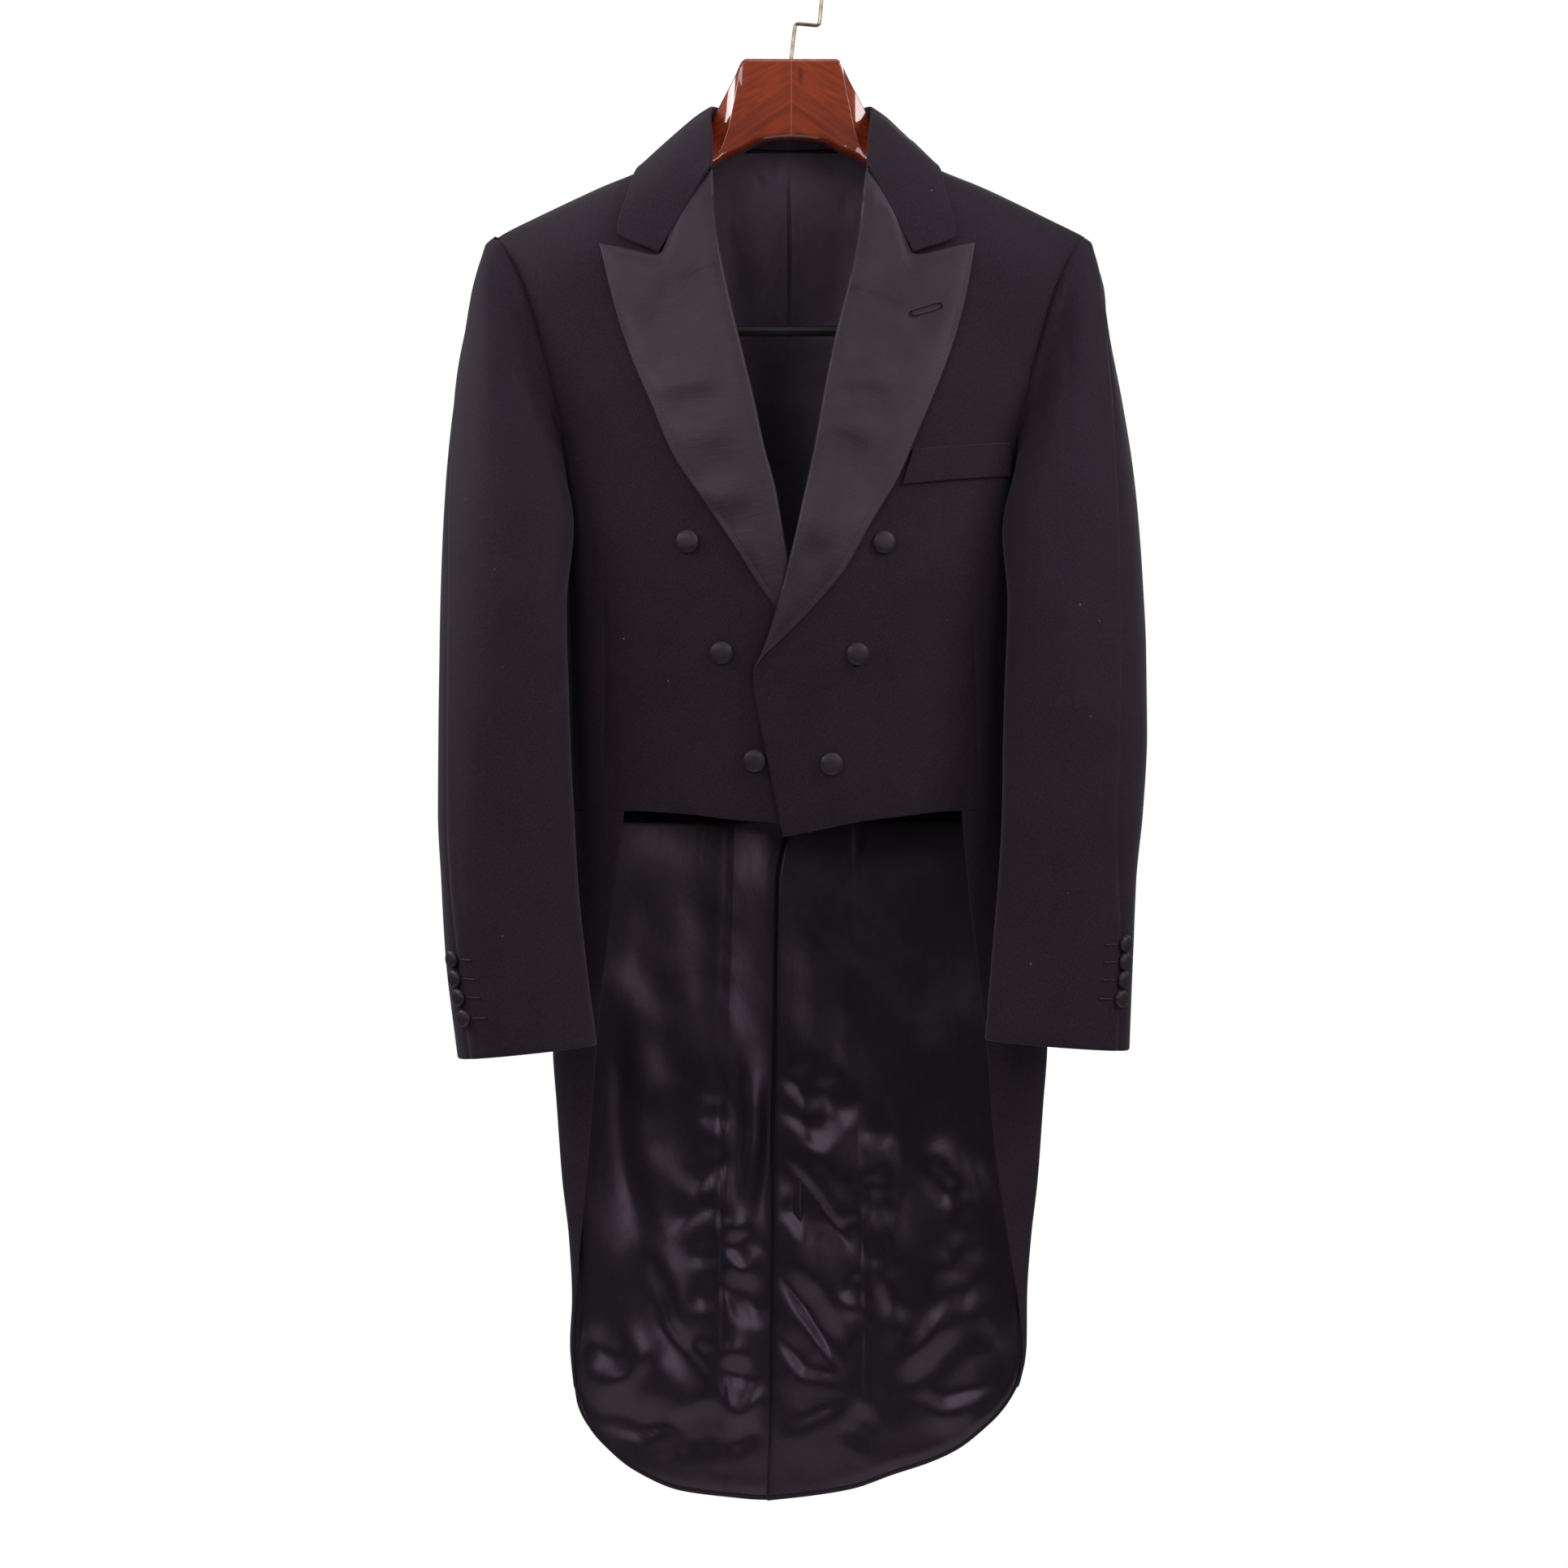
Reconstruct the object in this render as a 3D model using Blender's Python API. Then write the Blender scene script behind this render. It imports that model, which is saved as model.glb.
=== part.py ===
"""Evening tailcoat hung on a contoured wooden hanger.

Metres, +Z up. The coat faces -Y and the wearer's left is +X. The origin is
the inside top of the hook's loop, where the rail carries the hanger.
Every cloth piece is a thin shell laid out on one master form: rings round the
body below the arms, rounded over at the shoulder line.
"""

import math

import bpy
import numpy as np

MM = 0.001

# Driving sizes, in millimetres.
WOOL = 2.0  # wall of the coat cloth with its canvas
SATIN = 1.8  # wall of a lapel
LINING = 1.0  # wall of the lining
SEAM = 0.3  # gap between two pieces at a seam
WAIST = -668.0  # height of the waist seam
UNDERARM = -399.0  # lowest point of the armhole
SHOULDER_TIP = -223.0  # highest point of the armhole
ARM_DART_FRONT, ARM_DART_BACK = 21.5, 24.0  # degrees the armhole cuts into front and back
SIDE_SEAM = 17.0  # degrees from the side line to the front seam of the side body
ROUND_FRONT, ROUND_BACK = 70.0, 55.0  # height over which a panel turns over the shoulder
OVERLAP_LIFT = 5.5  # how far the left front stands over the right one
RING_POWER = 2.2  # squareness of the body's rings
FRONT_BUTTON, CUFF_BUTTON = 17.4, 13.4  # diameters
HOOK_WIRE, HOOK_RADIUS = 2.8, 25.0
BAR_ROD = 8.0


class Table:
    """Rows of named columns, read between rows with a monotone cubic on the first column."""

    def __init__(self, names, rows):
        self.names = names.split()
        data = np.array(rows, float)
        self.data = data if data[0, 0] < data[-1, 0] else data[::-1]

    def __call__(self, name, key):
        x, y = self.data[:, 0], self.data[:, self.names.index(name)]
        if key <= x[0]:
            return float(y[0])
        if key >= x[-1]:
            return float(y[-1])
        k = int(np.searchsorted(x, key)) - 1
        k = max(k, 0)
        h = np.diff(x)
        d = np.diff(y) / h
        m = np.zeros(len(x))
        m[0], m[-1] = d[0], d[-1]
        for i in range(1, len(x) - 1):
            if d[i - 1] * d[i] > 0:
                w1, w2 = 2 * h[i] + h[i - 1], h[i] + 2 * h[i - 1]
                m[i] = (w1 + w2) / (w1 / d[i - 1] + w2 / d[i])
        t = (key - x[k]) / h[k]
        return float(
            (2 * t**3 - 3 * t**2 + 1) * y[k]
            + (t**3 - 2 * t**2 + t) * h[k] * m[k]
            + (-2 * t**3 + 3 * t**2) * y[k + 1]
            + (t**3 - t**2) * h[k] * m[k + 1]
        )


# Body and tails: half width on each side, middle of the depth, and half depths.
BODY = Table(
    "z left right mid front back",
    (
        (-110, 236, 239, -6, 46, 50),
        (-200, 232, 235, -8, 58, 55),
        (-226, 227, 230, -8, 62, 58),
        (-264, 215, 217, -9, 67, 64),
        (-309, 203, 204, -11, 72, 70),
        (-346, 192, 193, -13, 76, 74),
        (-400, 177, 179, -15, 79, 78),
        (-480, 174, 176, -16, 80, 76),
        (-560, 172, 174, -16, 75, 70),
        (-620, 172, 173, -16, 69, 68),
        (-668, 173, 173, -15, 64, 67),
        (-720, 181, 177, -9, 50, 59),
        (-780, 191, 183, -1, 37, 52),
        (-850, 200, 186, 7, 30, 45),
        (-900, 197, 183, 11, 28, 42),
        (-955, 193, 179, 14, 26, 39),
        (-1000, 188, 174, 16, 25, 37),
        (-1050, 184.5, 171.5, 18, 24, 35),
        (-1083, 184, 173, 19, 24, 34),
        (-1124, 178, 171, 20, 24, 33),
        (-1230, 150, 140, 21, 24, 33),
    ),
)
SHOULDER = Table(
    "x z ridge",
    (
        (0, -110, 8),
        (40, -128, 7),
        (72, -150, 4),
        (119, -172, 1),
        (148, -184, -2),
        (173, -196, -4),
        (198, -208.5, -6),
        (215, -217, -7),
        (227, -223.5, -8),
        (245, -234, -8),
    ),
)
NECK = Table("x z", ((0, -150), (40, -149.5), (72, -150)))
# Turned-back lapels: the roll line and the outer edge, from the gorge down.
LAPEL = {
    "left": Table(
        "s roll_x roll_z edge_x edge_z",
        (
            (0.00, 57, -178, 140, -234),
            (0.12, 51, -224, 134.5, -265),
            (0.25, 44, -263, 126, -300),
            (0.37, 34, -303, 113.5, -337),
            (0.50, 25, -347, 95.5, -380),
            (0.62, 17.5, -390, 79.5, -417),
            (0.73, 9, -430, 61, -448),
            (0.84, 0, -471, 40, -485),
            (0.93, -9.5, -509, 14, -516),
            (0.97, -19, -539, -8, -538),
            (1.00, -27, -559, -22.5, -551),
        ),
    ),
    "right": Table(
        "s roll_x roll_z edge_x edge_z",
        (
            (0.00, 60, -180, 146, -235),
            (0.12, 56, -228, 138.5, -266),
            (0.25, 47.5, -274, 129, -299.5),
            (0.37, 37, -318, 119, -328),
            (0.50, 28, -356, 106, -358),
            (0.62, 20, -393, 89, -398),
            (0.73, 12, -423, 66, -433),
            (0.84, 5, -462, 42, -469),
            (0.93, -3, -500, 18.5, -505),
            (0.97, -9, -520, 3, -522),
            (1.00, -15, -538, -9, -534),
        ),
    ),
}
GORGE = Table(
    "f left_x left_z right_x right_z",
    (
        (0.00, 57, -178, 60, -180),
        (0.22, 72, -202, 75, -204),
        (0.45, 97, -243.5, 101, -244.5),
        (0.72, 118, -239, 123, -239.5),
        (1.00, 140, -234, 146, -235),
    ),
)
# Inner edge of each front, under the lapel and then down the free edge.
FRONT_EDGE = {
    "left": Table(
        "z x",
        (
            (-146, 74), (-165, 67.5), (-182, 61.2), (-224, 54.6), (-263, 47.4), (-303, 37.4),
            (-347, 28.4), (-390, 20.9), (-430, 12.4), (-471, 3.4), (-509, -6.3), (-539, -17.5),
            (-564, -28.8), (-594, -24.7), (-625, -18.5), (-656, -12.3), (-686, -6.2),
        ),
    ),
    "right": Table(
        "z x",
        (
            (-146, 74), (-165, 69), (-182, 63.8), (-228, 59.6), (-274, 51), (-318, 40.4),
            (-356, 31.4), (-393, 23.4), (-423, 15.4), (-462, 8.4), (-500, 0.4), (-538, -12),
            (-564, -29), (-610, -20), (-656, -12), (-683, -6),
        ),
    ),
}
FRONT_HEM = {
    "left": Table("x z", ((-7, -686), (15, -682), (40, -677), (77, -673), (128, WAIST), (180, WAIST))),
    "right": Table("x z", ((-7, -680), (12, -677), (46, -674.5), (77, -670.5), (126, WAIST), (180, WAIST))),
}
# Back seam of the side body, running on below the waist as the pleat beside the tail strip.
BACK_SEAM = Table(
    "z x",
    (
        (-336, 181), (-380, 150), (-440, 113), (-520, 78), (-600, 54), (-668, 45),
        (-780, 48), (-880, 52.5), (-1000, 57.5), (-1117, 60.5), (-1210, 57),
    ),
)
VENT_EDGE = Table(
    "z left right",
    ((-640, 0.2, 0.2), (-668, 0.2, 0.2), (-692, 0.2, 0.2), (-728, -13, -9), (-880, -16, -12), (-1220, -19, -14)),
)
SKIRT_EDGE = Table(
    "z left right",
    (
        (-668, 130.5, 128), (-719, 135.5, 134), (-770, 141.5, 141.5), (-814, 147, 147.5), (-852, 151.5, 151),
        (-930, 158, 157), (-974, 164.5, 161.5), (-1010, 170.5, 165.5), (-1043, 176.5, 168.5), (-1077, 181.5, 171.5),
    ),
)
TAIL_HEM = {
    "left": Table(
        "x z",
        (
            (-20, -1213), (16, -1209), (48, -1203.5), (80, -1192), (111, -1181), (131, -1171),
            (153, -1153), (166, -1139), (177, -1120), (183, -1098),
        ),
    ),
    "right": Table(
        "x z",
        (
            (-20, -1213), (19, -1213), (48, -1210), (86, -1204.5), (124, -1187), (146, -1168),
            (159, -1152), (167.5, -1134), (171, -1110), (173, -1090),
        ),
    ),
}
# Sleeve rings from the armhole to the cuff: outer and inner edge, middle and half
# depth, how far the front of a ring leads inwards, its bow, and the hind seam's angle.
SLEEVE_NAMES = "r outer_z outer_x inner_z inner_x mid half skew bow hind"
SLEEVE = {
    "left": Table(
        SLEEVE_NAMES,
        (
            (0, -223.5, 226, -399, 177, -10, 30, 0, -13, -60),
            (1, -233, 233.5, -402, 179.5, -10, 34, 0, -10, -40),
            (2, -258, 240.2, -409, 181, -14, 41, 2, -6, -10),
            (3, -300, 246.5, -421, 179, -20, 49, 8, -3, 8),
            (4, -350, 255.5, -436, 174, -29, 53, 14, 0, 16),
            (5, -410, 264, -460, 169, -39, 54, 18, 0, 23),
            (6, -480, 269.7, -497, 167, -47, 52, 18, 0, 30),
            (7, -545, 272.3, -548, 164.5, -53, 49, 16, 0, 35),
            (8, -606, 272.3, -608, 162.5, -57, 46, 14, 0, 39),
            (9, -668, 269, -668, 161, -60, 43, 12, 0, 41),
            (10, -720, 263.6, -722, 157.5, -61, 40, 9, 0, 35),
            (11, -778, 261, -780, 152.5, -62, 38, 7, 0, 28),
            (12, -850.5, 258, -842, 147.5, -62, 36, 6, 0, 28),
        ),
    ),
    "right": Table(
        SLEEVE_NAMES,
        (
            (0, -224, 229, -399, 179, -10, 30, 0, -13, -64),
            (1, -234, 237.5, -402, 181.5, -10, 34, 0, -10, -50),
            (2, -260, 246, -409, 183, -14, 41, 2, -6, -36),
            (3, -300, 253, -421, 182.5, -20, 49, 8, -3, -22),
            (4, -350, 260.5, -437, 178.5, -29, 53, 14, 0, -12),
            (5, -410, 265.8, -461, 174.5, -39, 54, 18, 0, -4),
            (6, -480, 268.4, -497, 173.2, -47, 52, 18, 0, 3),
            (7, -545, 269.6, -548, 171.5, -53, 49, 16, 0, 8),
            (8, -606, 270.2, -608, 169.3, -57, 46, 14, 0, 12),
            (9, -668, 270.2, -668, 166.2, -60, 43, 12, 0, 16),
            (10, -722, 267.6, -726, 162.6, -61, 40, 9, 0, 20),
            (11, -780, 264, -784, 156.5, -62, 38, 7, 0, 28),
            (12, -857, 254.8, -845.5, 148, -62, 36, 6, 0, 30),
        ),
    ),
}
FRONT_SLEEVE_SEAM = 200.0
# Collar: neck seam, fold line and leaf edge on one side, from the centre back to the notch.
COLLAR = Table(
    "k seam_face seam_x seam_z fold_x fold_y fold_z leaf_face leaf_x leaf_z",
    (
        (0, 1, 0, -148.9, 0, 47, -121, 1, 0, -170),
        (1, 1, 24, -148.7, 23, 44, -120.5, 1, 30, -170),
        (2, 1, 50, -148.6, 45, 33, -119.5, 1, 60, -169.5),
        (3, 1, 67, -149.0, 59, 14, -120, 1, 88, -168),
        (4, -1, 71.8, -149.4, 62.5, -4, -123, 1, 107, -167),
        (5, -1, 69, -156, 62, -22, -132, -1, 113.5, -176),
        (6, -1, 64.5, -164.5, 60.5, -39, -149, -1, 117.5, -196),
        (7, -1, 60.5, -172.5, 59, -52.5, -168, -1, 126.6, -223.5),
        (8, -1, 59, -178, 58.8, -58.5, -175.6, -1, 99.6, -238.2),
    ),
)
# How much wider the collar lies on the wearer's right than on the left.
COLLAR_RIGHT = Table(
    "k fold_dx leaf_dx leaf_dz",
    ((0, 0, 0, 0), (3, 0, 1, 0), (4, 0.5, 4, -0.5), (5, 0.8, 5, -0.5), (6, 1.4, 6.5, 0), (7, 2.6, 6.2, 2), (8, 3.4, 4.4, -0.6)),
)
# Wooden body of the hanger: top, the line where the bevel meets the front face,
# underside, and depths.
HANGER = Table(
    "x top bevel under front back crown",
    (
        (0, -84.9, -87, -146.5, -13, 13, 8.5),
        (20, -84.9, -87, -148.5, -13, 13, 8.5),
        (35, -84.9, -87, -154.5, -13, 13, 8.5),
        (38, -86.5, -90, -156.5, -13, 13, 7.5),
        (44, -98.5, -117, -159, -13.5, 13, 6),
        (50, -110, -144, -162, -14, 13, 5),
        (57, -123.5, -160, -166, -15, 13, 5),
        (63, -137, -164, -169.5, -16, 14, 5),
        (69, -154, -168, -174, -17, 14, 5),
        (76, -164, -175, -181, -18, 15, 5),
        (100, -176, -189, -199, -22, 17, 7),
        (140, -197, -209, -220, -29, 18, 9),
        (172, -214, -225, -236, -33, 16, 9),
        (192, -225, -232, -240, -30, 9, 6),
        (201, -231, -234, -238, -21, 1, 3),
    ),
)


def smoothstep(low, high, value):
    t = min(max((value - low) / (high - low), 0.0), 1.0)
    return t * t * (3 - 2 * t)


def width(side, z):
    return BODY(side, z)


def angle_at(side, x, z, back=False):
    """Ring angle of the point at distance x from the centre line: 0 at the front, pi at the back."""
    s = min(abs(x) / width(side, z), 0.99999)
    t = math.asin(s ** (RING_POWER / 2))
    t = math.copysign(t, x) if x else 0.0
    return math.pi - t if back else t


def ring(side, t, z):
    """Point of the body's ring at this height, without the shoulder's rounding, for the side +X."""
    sine, cosine = math.sin(t), math.cos(t)
    x = width(side, z) * math.copysign(abs(sine) ** (2 / RING_POWER), sine)
    depth = BODY("front" if cosine > 0 else "back", z)
    y = BODY("mid", z) - depth * math.copysign(abs(cosine) ** (2 / RING_POWER), cosine)
    return np.array((x, y, z))


def form(side, t, z):
    """Point and outward normal of the master form, in millimetres, for the side +X."""
    p = ring(side, t, z)
    e = 0.02
    across = ring(side, t + e, z) - ring(side, t - e, z)
    down = ring(side, t, z - 1.0) - ring(side, t, z + 1.0)
    n = np.cross(down, across)
    n /= np.linalg.norm(n)
    if n[0] * p[0] + n[1] * (p[1] - BODY("mid", z)) < 0:
        n = -n
    x = abs(p[0])
    rounding = ROUND_FRONT if math.cos(t) > 0 else ROUND_BACK
    top, ridge = SHOULDER("z", x), SHOULDER("ridge", x)
    q = max((top - z) / rounding, 0.0)
    if q < 1:
        g = math.sqrt(1 - (1 - q) ** 2)
        slope = (SHOULDER("z", x + 2) - SHOULDER("z", max(x - 2, 0))) / (x + 2 - max(x - 2, 0))
        up = np.array((-math.copysign(slope, p[0]), 0, 1.0))
        up /= np.linalg.norm(up)
        reach = max(abs(p[1] - ridge), 5.0)
        p[1] = ridge + (p[1] - ridge) * g
        n = n * (g / reach) + up * ((1 - q) / rounding)
        n /= np.linalg.norm(n)
    return p, n


def form_x(side, x, z, back=False):
    return form(side, angle_at(side, x, z, back), z)


def armhole_t(z, back=False):
    """Ring angle of the armhole's edge at this height."""
    middle, half = (SHOULDER_TIP + UNDERARM) / 2, (SHOULDER_TIP - UNDERARM) / 2
    c = min(max((z - middle) / half, -1.0), 1.0)
    cut = (ARM_DART_BACK if back else ARM_DART_FRONT) * (1 - c * c) ** 0.25
    return math.radians(90 + cut if back else 90 - cut)


def armhole_z(t):
    """Height of the armhole's lower edge at this ring angle."""
    off = math.degrees(t) - 90
    cut = ARM_DART_BACK if off > 0 else ARM_DART_FRONT
    middle, half = (SHOULDER_TIP + UNDERARM) / 2, (SHOULDER_TIP - UNDERARM) / 2
    return middle - half * math.sqrt(max(1 - min(abs(off) / cut, 1.0) ** 4, 0.0))


def top_z(x):
    return NECK("z", x) if x < 72 else SHOULDER("z", x)


# Heights where the side body meets the front and the back, shared by both neighbours.
SIDE_ROWS = 7
SIDE_TOP_FRONT = armhole_z(math.radians(90 - SIDE_SEAM))
SIDE_TOP_BACK = -336.0


def front_lift(x, z):
    """The left front stands off the right one where they overlap."""
    return OVERLAP_LIFT * smoothstep(72, 30, x) * smoothstep(-405, -455, z)


def grid_mesh(outer, inner):
    """Vertices and triangles of a closed shell between two grids of the same size."""
    rows, cols = outer.shape[:2]
    points = np.concatenate([outer.reshape(-1, 3), inner.reshape(-1, 3)]) * MM
    base = rows * cols
    faces = []
    for i in range(rows - 1):
        for j in range(cols - 1):
            a, b = i * cols + j, i * cols + j + 1
            c, d = (i + 1) * cols + j + 1, (i + 1) * cols + j
            faces += [(a, b, c), (a, c, d)]
            faces += [(base + a, base + c, base + b), (base + a, base + d, base + c)]
    rim = (
        [(0, j) for j in range(cols)]
        + [(i, cols - 1) for i in range(1, rows)]
        + [(rows - 1, j) for j in range(cols - 2, -1, -1)]
        + [(i, 0) for i in range(rows - 2, 0, -1)]
    )
    for (i0, j0), (i1, j1) in zip(rim, rim[1:] + rim[:1]):
        a, b = i0 * cols + j0, i1 * cols + j1
        faces += [(a, base + b, b), (a, base + a, base + b)]
    return points, faces


def outward(points, faces):
    p = np.asarray(points)
    f = np.asarray(faces)
    volume = np.einsum("ij,ij->i", p[f[:, 0]], np.cross(p[f[:, 1]], p[f[:, 2]])).sum()
    return [tuple(t) for t in (f[:, ::-1] if volume < 0 else f)]


def add_mesh(name, points, faces, material, smooth_angle=35.0):
    mesh = bpy.data.meshes.new(name)
    mesh.from_pydata([tuple(map(float, p)) for p in points], [], [tuple(map(int, f)) for f in faces])
    mesh.materials.append(material)
    mesh.shade_smooth()
    mesh.set_sharp_from_angle(angle=math.radians(smooth_angle))
    obj = bpy.data.objects.new(name, mesh)
    bpy.context.scene.collection.objects.link(obj)
    return obj


def shell(name, sign, points, normals, outer, inner, material):
    """A closed shell from a grid of points with normals, offset to its two faces; sign -1 mirrors it."""
    outer = np.broadcast_to(np.asarray(outer, float), points.shape[:2])[..., None]
    inner = np.broadcast_to(np.asarray(inner, float), points.shape[:2])[..., None]
    mirror = np.array((sign, 1, 1), float)
    out, into = (points + normals * outer) * mirror, (points + normals * inner) * mirror
    verts, faces = grid_mesh(out, into)
    return add_mesh(name, verts, outward(verts, faces), material)


def grid_of(cells):
    points = np.array([[c[0] for c in row] for row in cells])
    normals = np.array([[c[1] for c in row] for row in cells])
    return points, normals


def open_seam(cells, shift):
    """Moves a grid's first row clear of the shoulder seam."""
    for point, _ in cells[0]:
        point[1] += shift


def front_rows():
    """Weights of the front's rows: over the shoulder, across the chest, then down to the hem."""
    rows = [("round", 1 - math.cos(math.radians(a))) for a in (0, 28, 58, 90)]
    rows += [("chest", 0.5)]
    rows += [("low", i / SIDE_ROWS) for i in range(SIDE_ROWS + 1)]
    return rows


def front_z(kind, w, x, hem, rounding):
    if kind == "round":
        return (1 - w) * top_z(x) + w * (SHOULDER("z", x) - rounding)
    chest = SHOULDER("z", x) - rounding
    if kind == "chest":
        return (1 - w) * chest + w * SIDE_TOP_FRONT
    return (1 - w) * SIDE_TOP_FRONT + w * hem("z", x)


def front_edge_x(side, z):
    """Distance of the front's outer edge: the armhole, then the side seam."""
    t = armhole_t(z) if z > SIDE_TOP_FRONT else math.radians(90 - SIDE_SEAM)
    return ring(side, t, z)[0] - SEAM / 2


def solve(start, step):
    x = start
    for _ in range(60):
        x = 0.6 * x + 0.4 * step(x)
    return x


def front_panel(side, cols=8):
    cells, lifts = [], []
    hem, edge = FRONT_HEM[side], FRONT_EDGE[side]
    for kind, w in front_rows():
        height = lambda x: front_z(kind, w, x, hem, ROUND_FRONT)
        inner = solve(40.0, lambda x: edge("x", height(x)))
        outer = solve(180.0, lambda x: front_edge_x(side, height(x)))
        row, lift = [], []
        for j in range(cols + 1):
            f = j / cols
            x = inner + (outer - inner) * f
            z = height(x)
            row.append(form_x(side, x, z))
            lift.append(front_lift(x, z) if side == "left" else 0.0)
        cells.append(row)
        lifts.append(lift)
    open_seam(cells, -0.35)
    return *grid_of(cells), np.array(lifts)


def side_panel(side, cols=6):
    cells = []
    front = math.radians(90 - SIDE_SEAM)
    for i in range(SIDE_ROWS + 1):
        w = i / SIDE_ROWS
        back_z = SIDE_TOP_BACK + w * (WAIST - SIDE_TOP_BACK)
        back = angle_at(side, BACK_SEAM("x", back_z) + SEAM, back_z, True)
        back = min(back, armhole_t(SIDE_TOP_BACK, True)) if i == 0 else back
        start = front + math.radians(0.12)
        row = []
        for j in range(cols + 1):
            f = j / cols
            t = start + (back - start) * f
            top_t = start + (armhole_t(SIDE_TOP_BACK, True) - start) * f
            z = armhole_z(top_t) * (1 - w) + WAIST * w
            if j == cols:
                z = back_z
            row.append(form(side, t, z))
        cells.append(row)
    return grid_of(cells)


def back_outer_x(side, z):
    if z > SIDE_TOP_BACK:
        return ring(side, armhole_t(z, True), z)[0] - SEAM / 2
    return BACK_SEAM("x", z) - SEAM / 2


TAIL_STEPS = (0, 0.04, 0.11, 0.21, 0.33, 0.45, 0.57, 0.69, 0.80, 0.91, 1)  # rows down a tail


def tail_heights(side, x_at):
    """Heights of the tail's rows on a line down it, ending on the hem."""
    low = -1190.0
    for _ in range(20):
        low = TAIL_HEM[side]("z", x_at(low))
    return [WAIST - 0.6 + (low - WAIST + 0.6) * w for w in TAIL_STEPS]


def vent_lift(side, x, z):
    """The right tail passes behind the left one at the vent."""
    if side == "left":
        return 0.0
    return 4.8 * smoothstep(50, 14, x) * smoothstep(-669, -688, z)


def w_last(i):
    return i == len(TAIL_STEPS) - 1


def back_panel(side, cols=5):
    """Shoulder seam to hem in one piece: the back narrows to the waist and runs on as the tail strip."""
    cells, lifts = [], []
    rows = [("round", 1 - math.cos(math.radians(a))) for a in (0, 30, 60, 90)]
    rows += [("low", i / SIDE_ROWS) for i in range(SIDE_ROWS + 1)]
    upper = len(rows)
    for kind, w in rows:
        if kind == "round":
            height = lambda x: (1 - w) * top_z(x) + w * (SHOULDER("z", x) - ROUND_BACK)
        else:
            height = lambda x: SIDE_TOP_BACK * (1 - w) + WAIST * w
        outer = solve(150.0, lambda x: back_outer_x(side, height(x)))
        row, lift = [], []
        for j in range(cols + 1):
            x = SEAM / 2 + (outer - SEAM / 2) * j / cols
            z = height(x)
            row.append(form_x(side, x, z, True))
            lift.append(0.0)
        cells.append(row)
        lifts.append(lift)
    seam = tail_heights(side, lambda z: BACK_SEAM("x", z))
    centre = tail_heights(side, lambda z: VENT_EDGE(side, z))
    for i in range(1, len(TAIL_STEPS)):
        row, lift = [], []
        for j in range(cols + 1):
            f = j / cols
            z = centre[i] * (1 - f) + seam[i] * f
            x = VENT_EDGE(side, z) * (1 - f) + (BACK_SEAM("x", z) - SEAM / 2) * f
            if w_last(i):
                z = TAIL_HEM[side]("z", x)
            row.append(form_x(side, x, z, True))
            lift.append(vent_lift(side, x, z))
        cells.append(row)
        lifts.append(lift)
    open_seam(cells, 0.35)
    return *grid_of(cells), np.array(lifts), upper - 1


def skirt_edge_t(side, z):
    """Ring angle of the skirt's free front edge, which runs round to the side as it drops."""
    x = min(SKIRT_EDGE(side, z), width(side, z) * 0.999)
    return min(angle_at(side, x, z), math.radians(82))


def skirt_t(side, j, z):
    """Ring angle of the skirt's column j: two up to the side line, five more to the pleat."""
    start, half = skirt_edge_t(side, z), math.pi / 2
    if j <= 2:
        return start + (half - start) * j / 2
    end = angle_at(side, BACK_SEAM("x", z) + SEAM / 2, z, True)
    return half + (end - half) * (j - 2) / 5


def skirt_panel(side):
    """From the free front edge round the hip to the pleat."""
    columns = []
    for j in range(8):
        low = -1170.0
        for _ in range(40):
            x = ring(side, skirt_t(side, j, low), low)[0]
            low = 0.5 * low + 0.5 * TAIL_HEM[side]("z", x)
        if j == 7:
            low = tail_heights(side, lambda z: BACK_SEAM("x", z))[-1]
        top = WAIST - 0.6
        heights = [top + (low - top) * w for w in TAIL_STEPS]
        columns.append([form(side, skirt_t(side, j, z), z) for z in heights])
    return grid_of([[column[i] for column in columns] for i in range(len(TAIL_STEPS))])


def tail_lining(skirt, back, back_lift):
    """Lining of a whole tail, on the rows of its two pieces, a little inside their edges."""
    points = np.concatenate([skirt[0][:, 2:], back[0][:, -2::-1]], axis=1)
    normals = np.concatenate([skirt[1][:, 2:], back[1][:, -2::-1]], axis=1)
    lift = np.concatenate([np.zeros((len(points), 6)), back_lift[:, -2::-1]], axis=1)
    for grid in (points, normals, lift):
        grid[:, 0] = grid[:, 0] * 0.9 + grid[:, 1] * 0.1
        grid[:, -1] = grid[:, -1] * 0.85 + grid[:, -2] * 0.15
        grid[-1] = grid[-1] * 0.92 + grid[-2] * 0.08
    return points, normals, lift


def back_lining():
    """Lining across the back, on rows like the back's own, from the neck seam to the waist."""
    rows = [("round", 1 - math.cos(math.radians(a))) for a in (0, 30, 60, 90)]
    rows += [("low", i / SIDE_ROWS) for i in range(SIDE_ROWS + 1)]
    cells = []
    for kind, w in rows:
        row = []
        for j in range(-4, 5):
            x = 32.0 * abs(j)
            if kind == "round":
                z = (1 - w) * top_z(x) + w * (SHOULDER("z", x) - ROUND_BACK)
            else:
                z = (1 - w) * SIDE_TOP_BACK + w * (WAIST + 1.5)
            side = "left" if j >= 0 else "right"
            point, normal = form_x(side, x, z, True)
            flip = np.array((1 if j >= 0 else -1, 1, 1))
            if j == 0:
                normal[0] = 0
            row.append((point * flip, normal * flip))
        cells.append(row)
    points, normals = grid_of(cells)
    for grid in (points, normals):
        grid[0] = grid[0] * 0.4 + grid[1] * 0.6
    return points, normals


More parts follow.
